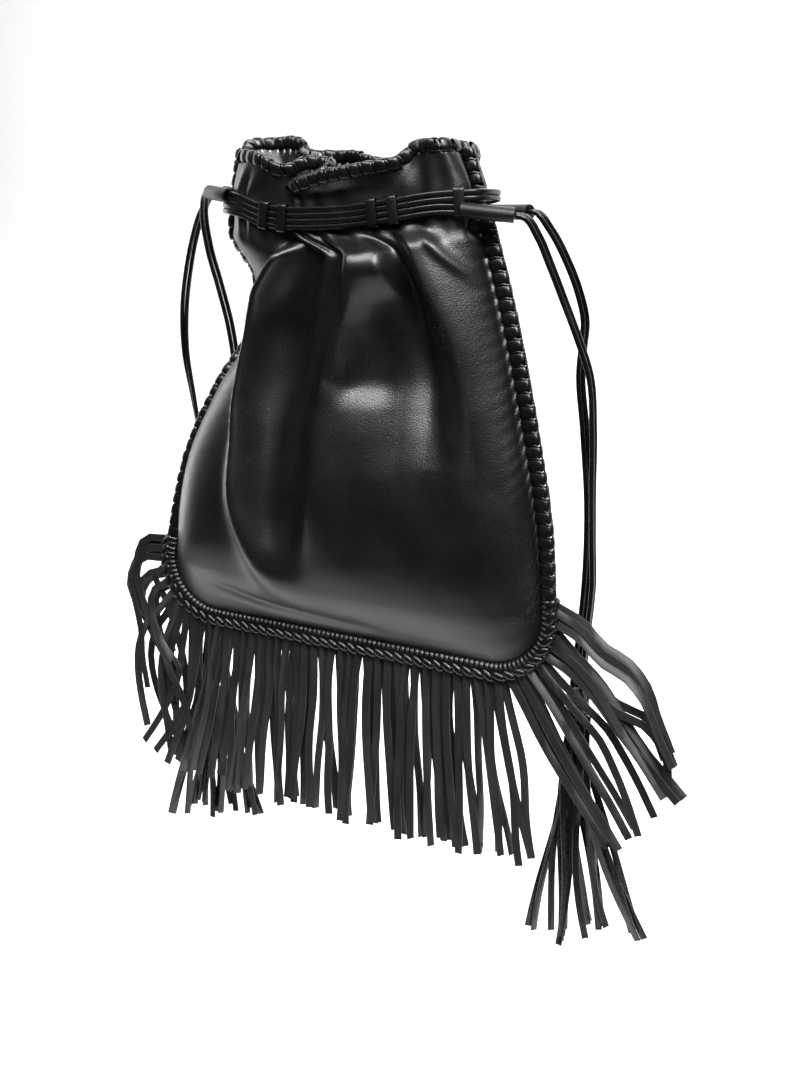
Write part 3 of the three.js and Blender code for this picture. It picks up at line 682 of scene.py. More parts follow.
FRONT = PanelShape(
    face=Face.FRONT,
    band=FRONT_BAND,
    rim=[
        (-0.94, -102, -13, 47.5), (-0.87, -90, -21, 47.5), (-0.76, -73, -28, 44.5), (-0.68, -61, -30, 39.5),
        (-0.6, -52, -29, 36.5), (-0.54, -46, -25, 37.5), (-0.47, -40, -18, 42.5), (-0.39, -28, -15, 44),
        (-0.32, -15, -17, 42), (-0.28, -11, -20, 40), (-0.24, -14, -22.5, 37), (-0.14, -32, -24, 28),
        (-0.08, -42, -26, 22.5), (-0.05, -44.5, -28.5, 21.5), (-0.02, -42, -31, 22.5), (0.06, -29, -34, 26.5),
        (0.16, -11, -37, 31.5), (0.3, 14, -38, 36), (0.43, 34, -35, 40), (0.53, 50, -29, 43), (0.58, 57, -23, 48),
        (0.63, 62, -19, 54.5), (0.69, 70, -22, 56.5), (0.78, 82, -27, 57.5), (0.86, 90, -26, 57.5),
        (0.94, 95, -14, 57.5),
    ],
    neck=[
        (-0.95, -108, -13), (-0.82, -95, -23), (-0.62, -70, -27), (-0.48, -50, -25), (-0.36, -34, -21.5),
        (-0.28, -23.5, -20), (-0.2, -28, -22.5), (-0.11, -38, -26.2), (-0.06, -40.5, -28), (0, -36, -28.8),
        (0.2, -8, -28), (0.45, 32, -28.5), (0.6, 58, -26.5), (0.8, 88, -25.5), (0.95, 109, -13),
    ],
    belly=Profile(
        (0, 0.027), (0.06, 0.031), (0.18, 0.029), (0.34, 0.03), (0.48, 0.036), (0.64, 0.041), (0.78, 0.037),
        (0.88, 0.027), (0.95, 0.014), (1, 0),
    ),
    folds=[
        Fold([
            (0, -0.33, 0.005, 0.04, 0.07), (0.02, -0.36, 0.01, 0.045, 0.08), (0.05, -0.41, 0.016, 0.05, 0.09),
            (0.1, -0.51, 0.023, 0.05, 0.11), (0.16, -0.6, 0.029, 0.05, 0.12), (0.24, -0.635, 0.03, 0.06, 0.12),
            (0.41, -0.58, 0.024, 0.06, 0.1), (0.53, -0.52, 0.02, 0.065, 0.1), (0.65, -0.485, 0.018, 0.07, 0.1),
            (0.73, -0.445, 0.015, 0.08, 0.11), (0.8, -0.395, 0.011, 0.09, 0.12), (0.92, -0.31, 0.003, 0.1, 0.12),
        ]),
        Fold([
            (0.03, -0.16, -0.008, 0.14, 0.12), (0.25, -0.28, -0.012, 0.2, 0.17), (0.5, -0.29, -0.013, 0.19, 0.16),
            (0.7, -0.27, -0.012, 0.15, 0.15), (0.84, -0.24, -0.002, 0.12, 0.12),
        ], 2.6),
        Fold([
            (0.02, -0.02, 0.004, 0.05, 0.06), (0.14, -0.1, 0.006, 0.06, 0.07), (0.34, -0.2, 0.006, 0.07, 0.07),
            (0.5, -0.25, 0.004, 0.07, 0.07), (0.68, -0.24, 0, 0.07, 0.07),
        ], 2),
        Fold([
            (0, 0.11, 0.006, 0.05, 0.12), (0.07, 0.175, 0.016, 0.04, 0.12), (0.14, 0.16, 0.019, 0.04, 0.12),
            (0.22, 0.08, 0.019, 0.045, 0.13), (0.34, 0, 0.016, 0.05, 0.14), (0.46, -0.03, 0.012, 0.06, 0.15),
            (0.58, -0.035, 0.009, 0.07, 0.16), (0.67, -0.06, 0.006, 0.08, 0.16), (0.78, -0.12, 0.001, 0.08, 0.16),
        ]),
        Fold([
            (0, 0.34, 0.002, 0.14, 0.14), (0.04, 0.35, 0.009, 0.16, 0.14), (0.1, 0.35, 0.017, 0.16, 0.14),
            (0.17, 0.33, 0.006, 0.16, 0.14), (0.25, 0.3, 0, 0.14, 0.14),
        ], 2.4),
        Fold([
            (0.1, 0.38, -0.003, 0.2, 0.14), (0.22, 0.38, -0.011, 0.24, 0.22), (0.34, 0.4, -0.015, 0.27, 0.26),
            (0.42, 0.4, -0.011, 0.28, 0.27), (0.5, 0.38, -0.006, 0.29, 0.28), (0.58, 0.34, -0.0015, 0.29, 0.29),
            (0.64, 0.3, 0, 0.28, 0.28),
        ], 2.6),
        Fold([
            (0, 0.52, 0.003, 0.03, 0.03), (0.03, 0.57, 0.005, 0.035, 0.03), (0.12, 0.64, 0.005, 0.06, 0.025),
            (0.23, 0.71, 0.005, 0.09, 0.025), (0.32, 0.77, 0.005, 0.1, 0.025), (0.43, 0.78, 0.005, 0.1, 0.03),
            (0.53, 0.755, 0.004, 0.1, 0.04), (0.64, 0.68, 0.001, 0.1, 0.05),
        ]),
        Fold([
            (0, 0.57, 0.004, 0.04, 0.2), (0.05, 0.63, 0.013, 0.045, 0.26), (0.15, 0.7, 0.017, 0.05, 0.28),
            (0.3, 0.8, 0.012, 0.05, 0.26), (0.45, 0.83, 0.005, 0.05, 0.22), (0.6, 0.85, 0, 0.06, 0.2),
        ]),
        Fold([
            (0, 0.36, -0.003, 0.05, 0.05), (0.06, 0.45, -0.01, 0.06, 0.06), (0.2, 0.54, -0.012, 0.09, 0.07),
            (0.4, 0.58, -0.008, 0.12, 0.08), (0.55, 0.6, 0, 0.12, 0.08),
        ], 2),
        Fold([
            (0.02, 0.7, 0.003, 0.04, 0.04), (0.08, 0.82, 0.006, 0.05, 0.05), (0.13, 0.93, 0.004, 0.05, 0.05),
            (0.16, 0.98, 0, 0.05, 0.05),
        ]),
        Crease([
            (-0.06, 0.31, 0, 0.06, 0.03), (0, 0.335, -0.002, 0.08, 0.03), (0.12, 0.36, -0.003, 0.09, 0.045),
            (0.24, 0.36, -0.002, 0.09, 0.05), (0.36, 0.35, 0, 0.08, 0.05),
        ]),
        Crease([(0, 0.44, 0, 0.06, 0.12), (0.2, 0.43, 0.004, 0.07, 0.14), (0.4, 0.43, 0, 0.07, 0.14)], 2),
        Crease([
            (-0.8, 0.9, 0, 0.02, 0.02), (-0.6, 0.925, -0.002, 0.02, 0.02), (-0.35, 0.95, -0.003, 0.02, 0.02),
            (0.05, 0.962, -0.002, 0.02, 0.02), (0.3, 0.965, 0, 0.02, 0.02),
        ]),
    ],
)

BACK = PanelShape(
    face=Face.BACK,
    band=BACK_BAND,
    rim=[
        (-0.95, -116, 12, 56.5), (-0.88, -119, 22, 58.5), (-0.8, -112, 29, 60), (-0.7, -100, 32, 60.5),
        (-0.6, -88, 31, 61.5), (-0.5, -76, 27, 61), (-0.44, -67, 21, 58), (-0.4, -63, 18, 53),
        (-0.35, -59, 20, 50), (-0.27, -50, 25, 50), (-0.15, -34, 27, 50), (-0.04, -17, 23, 50), (0.06, 1, 18, 46),
        (0.2, 24, 22, 44), (0.4, 52, 29, 45), (0.6, 75, 24, 43), (0.8, 90, 26, 48), (0.94, 96, 13, 56),
    ],
    neck=[
        (-0.95, -108, 13), (-0.8, -92, 24), (-0.5, -56, 27), (-0.2, -22, 25.5), (0.1, 12, 27.5), (0.4, 46, 25.5),
        (0.7, 80, 27), (0.85, 98, 22), (0.95, 109, 13),
    ],
    belly=Profile(
        (0, 0.027), (0.1, 0.028), (0.35, 0.031), (0.62, 0.034), (0.78, 0.031), (0.9, 0.019), (0.96, 0.009), (1, 0),
    ),
    folds=[
        Fold([
            (0, -0.55, 0.004, 0.08, 0.1), (0.2, -0.6, 0.012, 0.09, 0.14), (0.5, -0.62, 0.013, 0.1, 0.15),
            (0.9, -0.5, 0, 0.12, 0.15),
        ]),
        Fold([
            (0, -0.1, 0.006, 0.06, 0.1), (0.25, -0.16, 0.017, 0.08, 0.15), (0.5, -0.2, 0.018, 0.1, 0.16),
            (0.75, -0.26, 0.01, 0.1, 0.16), (0.95, -0.3, 0, 0.12, 0.15),
        ]),
        Fold([(0.05, 0.12, -0.004, 0.1, 0.1), (0.4, 0.07, -0.008, 0.12, 0.12), (0.85, 0.1, 0, 0.12, 0.12)], 2),
        Fold([
            (0, 0.34, 0.006, 0.1, 0.06), (0.25, 0.35, 0.016, 0.14, 0.08), (0.5, 0.37, 0.016, 0.15, 0.09),
            (0.88, 0.45, 0, 0.15, 0.12),
        ]),
        Fold([
            (0, 0.66, 0.004, 0.08, 0.06), (0.2, 0.72, 0.01, 0.1, 0.08), (0.4, 0.76, 0.008, 0.1, 0.08),
            (0.6, 0.78, 0, 0.1, 0.08),
        ]),
        Crease([
            (-0.5, 0.62, 0, 0.05, 0.03), (-0.2, 0.66, -0.004, 0.06, 0.03), (0.1, 0.64, -0.003, 0.06, 0.03),
            (0.4, 0.6, 0, 0.05, 0.03),
        ]),
    ],
)


@dataclass
class Panels:
    """The two leather panels: shells that hang in folds, pinched together along their seams."""

    form: BagForm
    finishes: Finishes
    stitch_rows: int = 5
    knot_cells: int = 3
    rim_stitches: int = 3
    band_stitches: int = 2
    body_stitches: int = 29
    knot_rows: int = 8
    arc_knots: int = 9
    flat_knots: int = 31
    flange_steps: tuple[float, ...] = (0.0, 0.0009, 0.0031, 0.0060, 0.0089)
    hole_ring: int = 1
    rim_hole_step: int = 4
    neck_fade: float = 0.06
    gather_height: float = 0.0016
    gather_waves: float = 41.0
    face_gap: float = 0.0001
    pucker_height: float = 0.0006
    pucker_reach: float = 0.0045
    lens_power: Profile = Profile((0, 4.0), (0.1, 3.4), (0.35, 3.6), (0.8, 3.6), (1, 2.6))
    lens_root: Profile = Profile((0, 0.25), (0.1, 0.4), (0.35, 0.5), (0.62, 0.52), (0.84, 0.6), (1, 0.75))
    left_fullness: float = 1.6

    @property
    def side_rows(self) -> int:
        """Return how many rows of the grid lie beside the stitches of a side seam."""
        return (self.rim_stitches + self.band_stitches + self.body_stitches) * self.stitch_rows

    @property
    def knot_columns(self) -> int:
        """Return how many columns the grid has along the knots."""
        return self.knot_cells * (2 * self.arc_knots + self.flat_knots)

    def rows(self) -> tuple[Array, Array, Array]:
        """Return the rows of a panel's grid: the shares above the thongs, over them and down below them."""
        above = np.linspace(1, 0, self.rim_stitches * self.stitch_rows + 1)[:-1]
        level = np.linspace(1, -1, self.band_stitches * self.stitch_rows + 1)[:-1]
        down = np.linspace(0, 1, self.body_stitches * self.stitch_rows + self.knot_rows + 1)
        rest, later = np.zeros(len(level) + len(down)), np.zeros(len(above) + len(level))
        over = np.concatenate([np.ones(len(above)), level, -np.ones(len(down))])
        return np.concatenate([above, rest]), over, np.concatenate([later, down])

    def columns(self, down: Array) -> Array:
        """Return the shares across of each row's points: even higher up, and even round the corners at the bottom."""
        whole = self.form.half_body - self.form.flange
        share = self.form.corner_x / whole
        turns = np.linspace(0, math.pi / 2, self.knot_cells * self.arc_knots + 1)[1:]
        arc = (self.form.corner_x + (whole - self.form.corner_x) * np.sin(turns)) / whole
        flat = np.linspace(-share, share, self.knot_cells * self.flat_knots + 1)
        low = np.concatenate([-arc[::-1], flat, arc])
        high = np.linspace(-1, 1, self.knot_columns + 1)
        return mix(high[None, :], low[None, :], ease((down - 0.55) / 0.45)[:, None])

    def depth(self, shape: PanelShape, across: Array, down: Array) -> Array:
        """Return how far a panel stands out from the seams at places below the thongs."""
        power = self.lens_power(down) * np.where(across < 0, self.left_fullness, 1.0)
        lens = np.maximum(0, 1 - np.abs(across) ** power) ** self.lens_root(down)
        pinned = 1 - np.abs(across) ** 6
        total = shape.belly(down) * lens
        for fold in shape.folds:
            total = total + fold.rise(across, down) * pinned * fold.hold(down)
        return total

    def neck_line(self, shape: PanelShape, across: Array, ends: tuple[float, float]) -> tuple[Array, Array]:
        """Return x and y of a panel's gathers at the thongs.

        Args:
            shape: The panel's own tables.
            across: The shares across.
            ends: The x of its left and right end.

        Returns:
            The two coordinates.
        """
        rows = [(-1, ends[0] * MM, 0.0), *shape.neck, (1, ends[1] * MM, 0.0)]
        ripple = np.cos(across * self.gather_waves + 3 * np.sin(across * 7) + shape.face.value)
        gathers = self.gather_height * (1 - across**6) * ripple
        return column(rows, 1, MM)(across), column(rows, 2, MM)(across) + gathers

    def rim_line(self, shape: PanelShape, across: Array) -> list[Array]:
        """Return x, y and z of a panel's rim."""
        ends = []
        for side in (-1, 1):
            x, _, z = self.form.seam_point(side, self.form.seam_top(side))
            ends.append((side, (x - side * self.form.flange) * MM, 0.0, z * MM))
        rows = [ends[0], *shape.rim, ends[1]]
        return [column(rows, place, MM)(across) for place in (1, 2, 3)]

    def surface(self, shape: PanelShape) -> Array:
        """Return the grid of a panel's middle surface, inside its flange."""
        form, sign = self.form, shape.face.value
        above, level, down = (values[:, None] for values in self.rows())
        across = self.columns(down[:, 0])
        whole = form.half_body - form.flange
        corner = np.clip((np.abs(across) * whole - form.corner_x) / (whole - form.corner_x), 0, 1)
        bottom = form.corner_z - (form.corner - form.flange) * np.sqrt(1 - corner**2)
        z = mix(form.neck_out * shape.band(across) + form.band_half * level, bottom, down)
        half = form.half_width(z) - form.flange
        share = form.drop_share(z)
        sway = np.where(across < 0, across**2, 0) * form.half_neck
        x = across * half + sway * form.left_inward(share)
        neck_x, neck_y = self.neck_line(shape, across, (x[0, 0], x[0, -1]))
        open_up = ease(down / self.neck_fade)
        x = mix(neck_x, x, open_up)
        y = mix(neck_y, sign * self.depth(shape, across, down), open_up)
        rim_x, rim_y, rim_z = self.rim_line(shape, across)
        x = mix(x, rim_x, above**1.1)
        y = mix(y, rim_y, ease(above))
        z = mix(z, rim_z, above)
        rows_down = np.arange(len(down))[:, None] - self.stitch_rows / 2
        edge_gap = (1 - np.abs(across)) * half
        pucker = np.cos(2 * math.pi * rows_down / self.stitch_rows) * np.exp(-edge_gap / self.pucker_reach)
        y = y + sign * self.pucker_height * pucker * np.where(z > form.corner_z, 1, 0)
        y = y + sway * form.left_back(share) + sign * (form.wall / 2 + self.face_gap)
        return np.stack([x, y, z], axis=-1)

    def outline(self, grid: Array) -> tuple[list[tuple[int, int]], Array]:
        """Return the grid's edge down the left, along the bottom and up the right, and its outward directions."""
        rows, columns = grid.shape[:2]
        cells = [(i, 0) for i in range(rows)]
        cells += [(rows - 1, j) for j in range(1, columns)]
        cells += [(i, columns - 1) for i in range(rows - 2, -1, -1)]
        along = tangents(np.array([grid[cell] for cell in cells]) * np.array([1, 0, 1]))
        outward = np.stack([along[:, 2], 0 * along[:, 2], -along[:, 0]], axis=-1)
        smoothing_rounds = 6
        for _ in range(smoothing_rounds):
            outward[1:-1] = unit(outward[:-2] + outward[1:-1] + outward[2:])
        return cells, outward

    def is_hole(self, step: int) -> bool:
        """Say whether a cell along the outline has a hole in its flange."""
        bottom = self.side_rows + self.knot_rows
        last = 2 * bottom + self.knot_columns - 1
        if step < self.side_rows:
            return step % self.stitch_rows == self.stitch_rows // 2
        if last - step < self.side_rows:
            return (last - step) % self.stitch_rows == self.stitch_rows // 2
        if bottom <= step < bottom + self.knot_columns:
            return (step - bottom) % self.knot_cells == self.knot_cells // 2
        return False

    def build(self, shape: PanelShape, node: str) -> bpy.types.Object:
        """Build one panel and dress it.

        Args:
            shape: The panel's own tables.
            node: The CAD node that it stands for.

        Returns:
            The panel.
        """
        grid = self.surface(shape)
        rows, columns = grid.shape[:2]
        number = np.arange(rows * columns).reshape(rows, columns).tolist()
        rim_holes = {(2, j) for j in range(self.rim_hole_step, columns - self.rim_hole_step, self.rim_hole_step)}
        faces: Faces = []
        for i in range(rows - 1):
            for j in range(columns - 1):
                if (i, j) not in rim_holes:
                    faces.append((number[i][j], number[i + 1][j], number[i + 1][j + 1], number[i][j + 1]))
        cells, outward = self.outline(grid)
        edge = np.array([grid[cell] for cell in cells])
        points, count = [grid.reshape(-1, 3)], rows * columns
        rings = [[number[i][j] for i, j in cells]]
        for offset in self.flange_steps[1:]:
            points.append(edge + outward * offset)
            rings.append(list(range(count, count + len(cells))))
            count += len(cells)
        for k, (inner, outer) in enumerate(zip(rings[:-1], rings[1:])):
            for step in range(len(cells) - 1):
                if k != self.hole_ring or not self.is_hole(step):
                    faces.append((inner[step], outer[step], outer[step + 1], inner[step + 1]))
        if shape.face is Face.BACK:
            faces = [face[::-1] for face in faces]
        piece = new_piece(f"{node}_leather", np.concatenate(points), faces, [self.finishes.panel], sharp=80)
        wall = piece.modifiers.new("wall", "SOLIDIFY")
        wall.thickness = self.form.wall
        wall.offset = 0
        bpy.ops.object.modifier_apply(modifier=wall.name)
        return dress(piece, node)


@dataclass(frozen=True)
class Wrap:
    """One wrap of the lace: a flat band round an edge."""

    reach: float
    half_depth: float
    width: float
    slant: float
    lift: float
    thickness: float = 0.0017
    squareness: float = 0.75
    flatness: float = 0.55
    narrowing: float = 0.12

    def model(self) -> Shape:
        """Model the wrap.

        Returns:
            The shape, with x outwards, y to the back and z along the edge.
        """
        shape, turn, tube = Shape.ring(18, 10, 0.25)
        thick = signed_power(np.cos(tube), self.squareness) * self.thickness / 2
        tall = signed_power(np.sin(tube), self.flatness) * self.width / 2
        narrow = 1 - self.narrowing * np.clip(np.cos(turn), 0, 1)
        front = np.where(np.sin(turn) < TINY, 1, -1)
        shape.points = np.stack(
            [
                (self.reach + thick) * signed_power(np.cos(turn), self.squareness),
                (self.half_depth + thick) * signed_power(np.sin(turn), self.squareness),
                tall * narrow + self.slant * np.cos(turn) / 2 * front,
            ],
            axis=1,
        )
        return shape


@dataclass
class Lacing:
    """The flat lace wound over the side seams and the rim: broad wraps with a thin return between them."""

    form: BagForm
    finishes: Finishes
    panels: Panels
    side_wraps: tuple[Wrap, Wrap] = (
        Wrap(0.0060, 0.0034, 0.0082, 0.0018, -0.0022),
        Wrap(0.0058, 0.0026, 0.0034, 0.0050, -0.0020),
    )
    rim_wraps: tuple[Wrap, Wrap] = (
        Wrap(0.0048, 0.0029, 0.0082, 0.0022, -0.0012),
        Wrap(0.0040, 0.0018, 0.0034, 0.0036, -0.0010),
    )
    rim_pitch: float = 0.0102
    tip: float = math.radians(4)
    lift_spread: float = 0.0003
    width_spread: float = 0.05

    def wind(self, pile: Pile, places: Array, outward: Array, back: Array, wrap: Wrap, salt: int) -> None:
        """Set one wrap at each place along an edge.

        Args:
            pile: The pile that takes the wraps.
            places: The points of the edge where the wraps lie.
            outward: The directions away from the panel.
            back: The directions to the panel's back.
            wrap: The wrap.
            salt: A number that gives this run its own small differences.
        """
        shape = wrap.model()
        for i, (place, x_way, y_way, z_way) in enumerate(zip(places, outward, back, tangents(places))):
            x_way = unit(x_way - z_way * (x_way @ z_way))
            y_way = unit(np.cross(z_way, x_way)) * np.sign(np.cross(z_way, x_way) @ y_way)
            tip = self.tip * scatter(i, salt)
            turned_x = x_way * math.cos(tip) + z_way * math.sin(tip)
            turned_z = z_way * math.cos(tip) - x_way * math.sin(tip)
            origin = place + x_way * (wrap.lift + self.lift_spread * scatter(i, salt + 1))
            mirrored = np.cross(turned_x, y_way) @ turned_z < 0
            faces = [face[::-1] for face in shape.faces] if mirrored else shape.faces
            stretched_z = turned_z * (1 + self.width_spread * scatter(i, salt + 2))
            pile.add(shape.placed(origin, turned_x, y_way, stretched_z), faces)

    def lace(
        self, node: str, wraps: tuple[Wrap, Wrap], places: Array, outward: Array, back: Array, salts: tuple[int, int]
    ) -> bpy.types.Object:
        """Lace one edge.

        Args:
            node: The CAD node that the lacing stands for.
            wraps: The broad wrap and the thin one between two of them.
            places: The points of the edge where the broad wraps lie.
            outward: The directions away from the panel.
            back: The directions to the panel's back.
            salts: A number for each kind of wrap.

        Returns:
            The lacing.
        """
        pile = Pile()
        self.wind(pile, places, outward, back, wraps[0], salts[0])
        self.wind(pile, (places[:-1] + places[1:]) / 2, outward[1:], back[1:], wraps[1], salts[1])
        return dress(pile.make(f"{node}_wraps", [self.finishes.lace], sharp=60), node)

    def side(self, side: int, node: str) -> bpy.types.Object:
        """Build the lacing of one side seam."""
        form, panels = self.form, self.panels
        above, level, down = panels.rows()
        band = float(form.neck_out * FRONT_BAND(side))
        over = mix(band + form.band_half, form.seam_top(side), above)
        below = mix(band + form.band_half * level, form.corner_z, down)
        z = np.where(above > 0, over, below)[: panels.side_rows]
        first = panels.stitch_rows // 2
        centres = (z[first :: panels.stitch_rows] + z[first + 1 :: panels.stitch_rows]) / 2
        places = form.seam_point(side, centres)
        back = np.tile(REAR, (len(places), 1))
        outward = unit(np.cross(tangents(places), back))
        outward = outward * np.sign(outward[:, :1] * side)
        return self.lace(node, self.side_wraps, places, outward, back, (3 + side, 9 + side))

    def rim(self, shape: PanelShape, node: str) -> bpy.types.Object:
        """Build the lacing of one half of the mouth."""
        grid = self.panels.surface(shape)
        edge, under = grid[0], grid[3]
        count = 4 * round(lengths_along(edge)[-1] / self.rim_pitch)
        fine = evenly(edge, count)
        places, along = fine[2::4], tangents(fine)[2::4]
        up = unit(places - evenly(under, count)[2::4])
        outward = unit(up - along * np.sum(up * along, axis=1, keepdims=True))
        back = unit(np.cross(along, outward))
        salts = (21 + shape.face.value, 31 + shape.face.value)
        return self.lace(node, self.rim_wraps, places, outward, back, salts)


# The routes of drawn strips, by their share of the bottom seam, as x and z in millimetres
LEFT_STRIPS = {
    0: [
        (-199, -280), (-211, -278), (-226, -286), (-242, -303), (-253, -324), (-248, -343), (-236, -361),
        (-224, -377), (-209, -392),
    ],
    0.02: [
        (-201, -286), (-216, -286), (-228, -290), (-235, -306), (-233, -337), (-223, -359), (-211, -381),
        (-199, -398),
    ],
    0.04: [
        (-203, -300), (-218, -301), (-235, -306), (-245, -319), (-245, -335), (-238, -352), (-226, -380),
        (-218, -422), (-209, -443),
    ],
    0.055: [
        (-204, -309), (-213, -308), (-217, -315), (-211, -328), (-202, -340), (-192, -362), (-182, -387),
        (-178, -420),
    ],
    0.07: [
        (-206, -317), (-223, -321), (-235, -332), (-238, -346), (-228, -360), (-216, -381), (-209, -404),
        (-207, -432),
    ],
    0.09: [
        (-199, -332), (-214, -338), (-219, -354), (-213, -371), (-202, -399), (-195, -415), (-185, -431),
        (-180, -452),
    ],
    0.105: [(-192, -338), (-206, -356), (-221, -374), (-228, -392), (-228, -415), (-222, -440), (-214, -462)],
    0.125: [(-190, -342), (-199, -363), (-207, -382), (-212, -402), (-211, -430), (-206, -460), (-204, -478)],
    0.165: [(-176, -355), (-179, -387), (-183, -427), (-195, -459), (-212, -491)],
    0.205: [(-164, -355), (-166, -404), (-176, -445), (-192, -491)],
}
RIGHT_STRIPS = {
    0.845: [(178, -338), (193, -361), (208, -388), (224, -414), (242, -442), (256, -468)],
    0.87: [(183, -328), (203, -350), (222, -374), (241, -398), (262, -424), (278, -446)],
    0.895: [(185, -317), (207, -337), (226, -352), (248, -370), (270, -402), (288, -436)],
    0.92: [(190, -305), (209, -314), (226, -327), (242, -346), (260, -368), (276, -385), (288, -400)],
    0.95: [
        (191, -296), (206, -308), (218, -320), (233, -334), (251, -339), (269, -341), (282, -346), (290, -358),
        (296, -377),
    ],
    0.985: [
        (192, -287), (207, -290), (219, -298), (229, -306), (240, -312), (259, -317), (272, -326), (283, -342),
        (292, -357), (304, -371),
    ],
}


class Reach(Enum):
    """The three stretches of the fringe, by their shares of the bottom seam."""

    LEFT = (0.0, 0.22)
    BOTTOM = (0.22, 0.78)
    RIGHT = (0.78, 1.0)


@dataclass
class Fringe:
    """The knots along the bottom seam and the strips that hang from them.

    leave and hang give the angle from straight down, in degrees, at a strip's top and at its end, by its share
    of the seam. The spreads are the largest chance differences.
    """

    form: BagForm
    finishes: Finishes
    knots: int = 51
    strip_width: float = 0.0067
    strip_thickness: float = 0.0014
    length: float = 0.156
    joints: int = 14
    right_drawn: float = 0.825
    leave: Profile = Profile(
        (0, -100), (0.08, -92), (0.15, -50), (0.22, -10), (0.3, -3), (0.7, 2), (0.8, 12), (0.86, 38), (0.93, 62),
        (1, 84),
    )
    hang: Profile = Profile(
        (0, 10), (0.08, 12), (0.15, 2), (0.2, -14), (0.24, -8), (0.3, -1), (0.7, 4), (0.8, 13), (0.86, 28),
        (0.93, 42), (1, 52),
    )
    leave_spread: float = 5.0
    hang_spread: float = 8.0
    length_spread: float = 0.035
    sway: float = 0.08
    route_spread: float = 0.006
    face_turn: float = 0.45
    face_spread: float = 0.35
    twist: float = 0.5
    bar_slant: float = 58.0
    bar_slant_spread: float = 8.0
    wrap_size: tuple[float, float, float] = (0.0070, 0.0044, 0.0028)
    wrap_thickness: float = 0.0013
    wrap_shift: float = 0.0022
    bar_size: tuple[float, float, float] = (0.0036, 0.0030, 0.0070)
    bar_out: float = 0.0028
    bar_depth: float = 0.0042
    knot_inset: float = 0.0014
    strip_shift: float = 0.0023

    def knot_shapes(self) -> tuple[Shape, Shape]:
        """Model a knot's two parts: the wrap over the edge and the bar that holds it."""
        wrap, turn, tube = Shape.ring(14, 8, 0.3)
        thick = np.cos(tube) * self.wrap_thickness
        out, deep, tall = self.wrap_size
        wrap.points = np.stack(
            [(out + thick) * np.cos(turn), (deep + thick) * np.sin(turn), np.sin(tube) * tall], axis=1
        )
        bpy.ops.mesh.primitive_uv_sphere_add(segments=12, ring_count=8, radius=1.0)
        bar = Shape.from_active()
        bar.points = bar.points * np.array(self.bar_size)
        return wrap, bar

    def drawn_bends(self, along: float, index: int) -> Array | None:
        """Return the angles of a strip that follows a drawn route, or None for one that just hangs.

        Args:
            along: Its share of the bottom seam.
            index: Its number.

        Returns:
            The angle from straight down at each of its joints.
        """
        if Reach.LEFT.value[1] <= along <= self.right_drawn:
            return None
        routes = LEFT_STRIPS if along < Reach.LEFT.value[1] else RIGHT_STRIPS
        share = min(routes, key=lambda value: abs(value - along - self.route_spread * scatter(index, 9)))
        line = evenly(np.array([(x / MM, 0.0, z / MM) for x, z in routes[share]]), 6)
        line = smooth_path(line, lengths_along(line)[-1] / (4 * self.joints))
        bend = np.arctan2(np.diff(line[:, 0]), -np.diff(line[:, 2]))
        return np.interp(np.linspace(0, 1, self.joints), np.linspace(0, 1, len(bend)), np.unwrap(bend))

    def strip_path(self, along: float, index: int, start: Array) -> tuple[Array, Array]:
        """Return one strip's path and the direction of its broad way.

        Args:
            along: Its share of the bottom seam.
            index: Its number.
            start: Where it leaves its knot.

        Returns:
            The path's points and the broad way at each.
        """
        leave = math.radians(float(self.leave(along)) + self.leave_spread * scatter(index, 1))
        hang = math.radians(float(self.hang(along)) + self.hang_spread * scatter(index, 2))
        length = self.length * (1 + self.length_spread * scatter(index, 3))
        lean = 0.03 * scatter(index, 4) + (0.03 if index % 2 else -0.04)
        sway = self.sway * scatter(index, 6)
        bends = self.drawn_bends(along, index)
        points = [start]
        for i in range(self.joints):
            q = (i + 0.5) / self.joints
            if bends is None:
                angle = mix(leave, hang, ease(q * 1.35)) + sway * math.sin(3.2 * math.pi * q + index)
            else:
                angle = bends[i] + (0.05 + 0.2 * q) * scatter(index, 10)
            step = np.array([math.sin(angle), lean * (1 - 0.4 * q), -math.cos(angle)])
            points.append(points[-1] + unit(step) * length / self.joints)
        path = np.array(points)
        run = tangents(path)
        turn = self.face_turn + self.face_spread * scatter(index, 5)
        broad = unit(np.cross(run, np.array([math.sin(turn), -math.cos(turn), 0.0])))
        twist = np.linspace(0, self.twist * scatter(index, 7), len(path))[:, None]
        return path, broad * np.cos(twist) + np.cross(run, broad) * np.sin(twist)

    def add_knot(self, pile: Pile, shapes: tuple[Shape, Shape], place: Array, run: Array, out: Array, k: int) -> None:
        """Add one knot to the pile.

        Args:
            pile: The pile.
            shapes: The knot's wrap and bar.
            place: Its point on the seam.
            run: The seam's direction there.
            out: The direction away from the bag.
            k: Its number.
        """
        wrap, bar = shapes
        inner = place - out * self.knot_inset
        for shift in (-self.wrap_shift, self.wrap_shift):
            pile.add(wrap.placed(inner + run * shift, out, REAR, np.cross(out, REAR)), wrap.faces)
        slant = math.radians(self.bar_slant + self.bar_slant_spread * scatter(k, 8))
        z_way = unit(run * math.sin(slant) + out * math.cos(slant))
        x_way = unit(out - z_way * (out @ z_way))
        for depth in (-self.bar_depth, self.bar_depth):
            centre = inner + out * self.bar_out + REAR * depth
            pile.add(bar.placed(centre, x_way, np.cross(z_way, x_way), z_way), bar.faces)

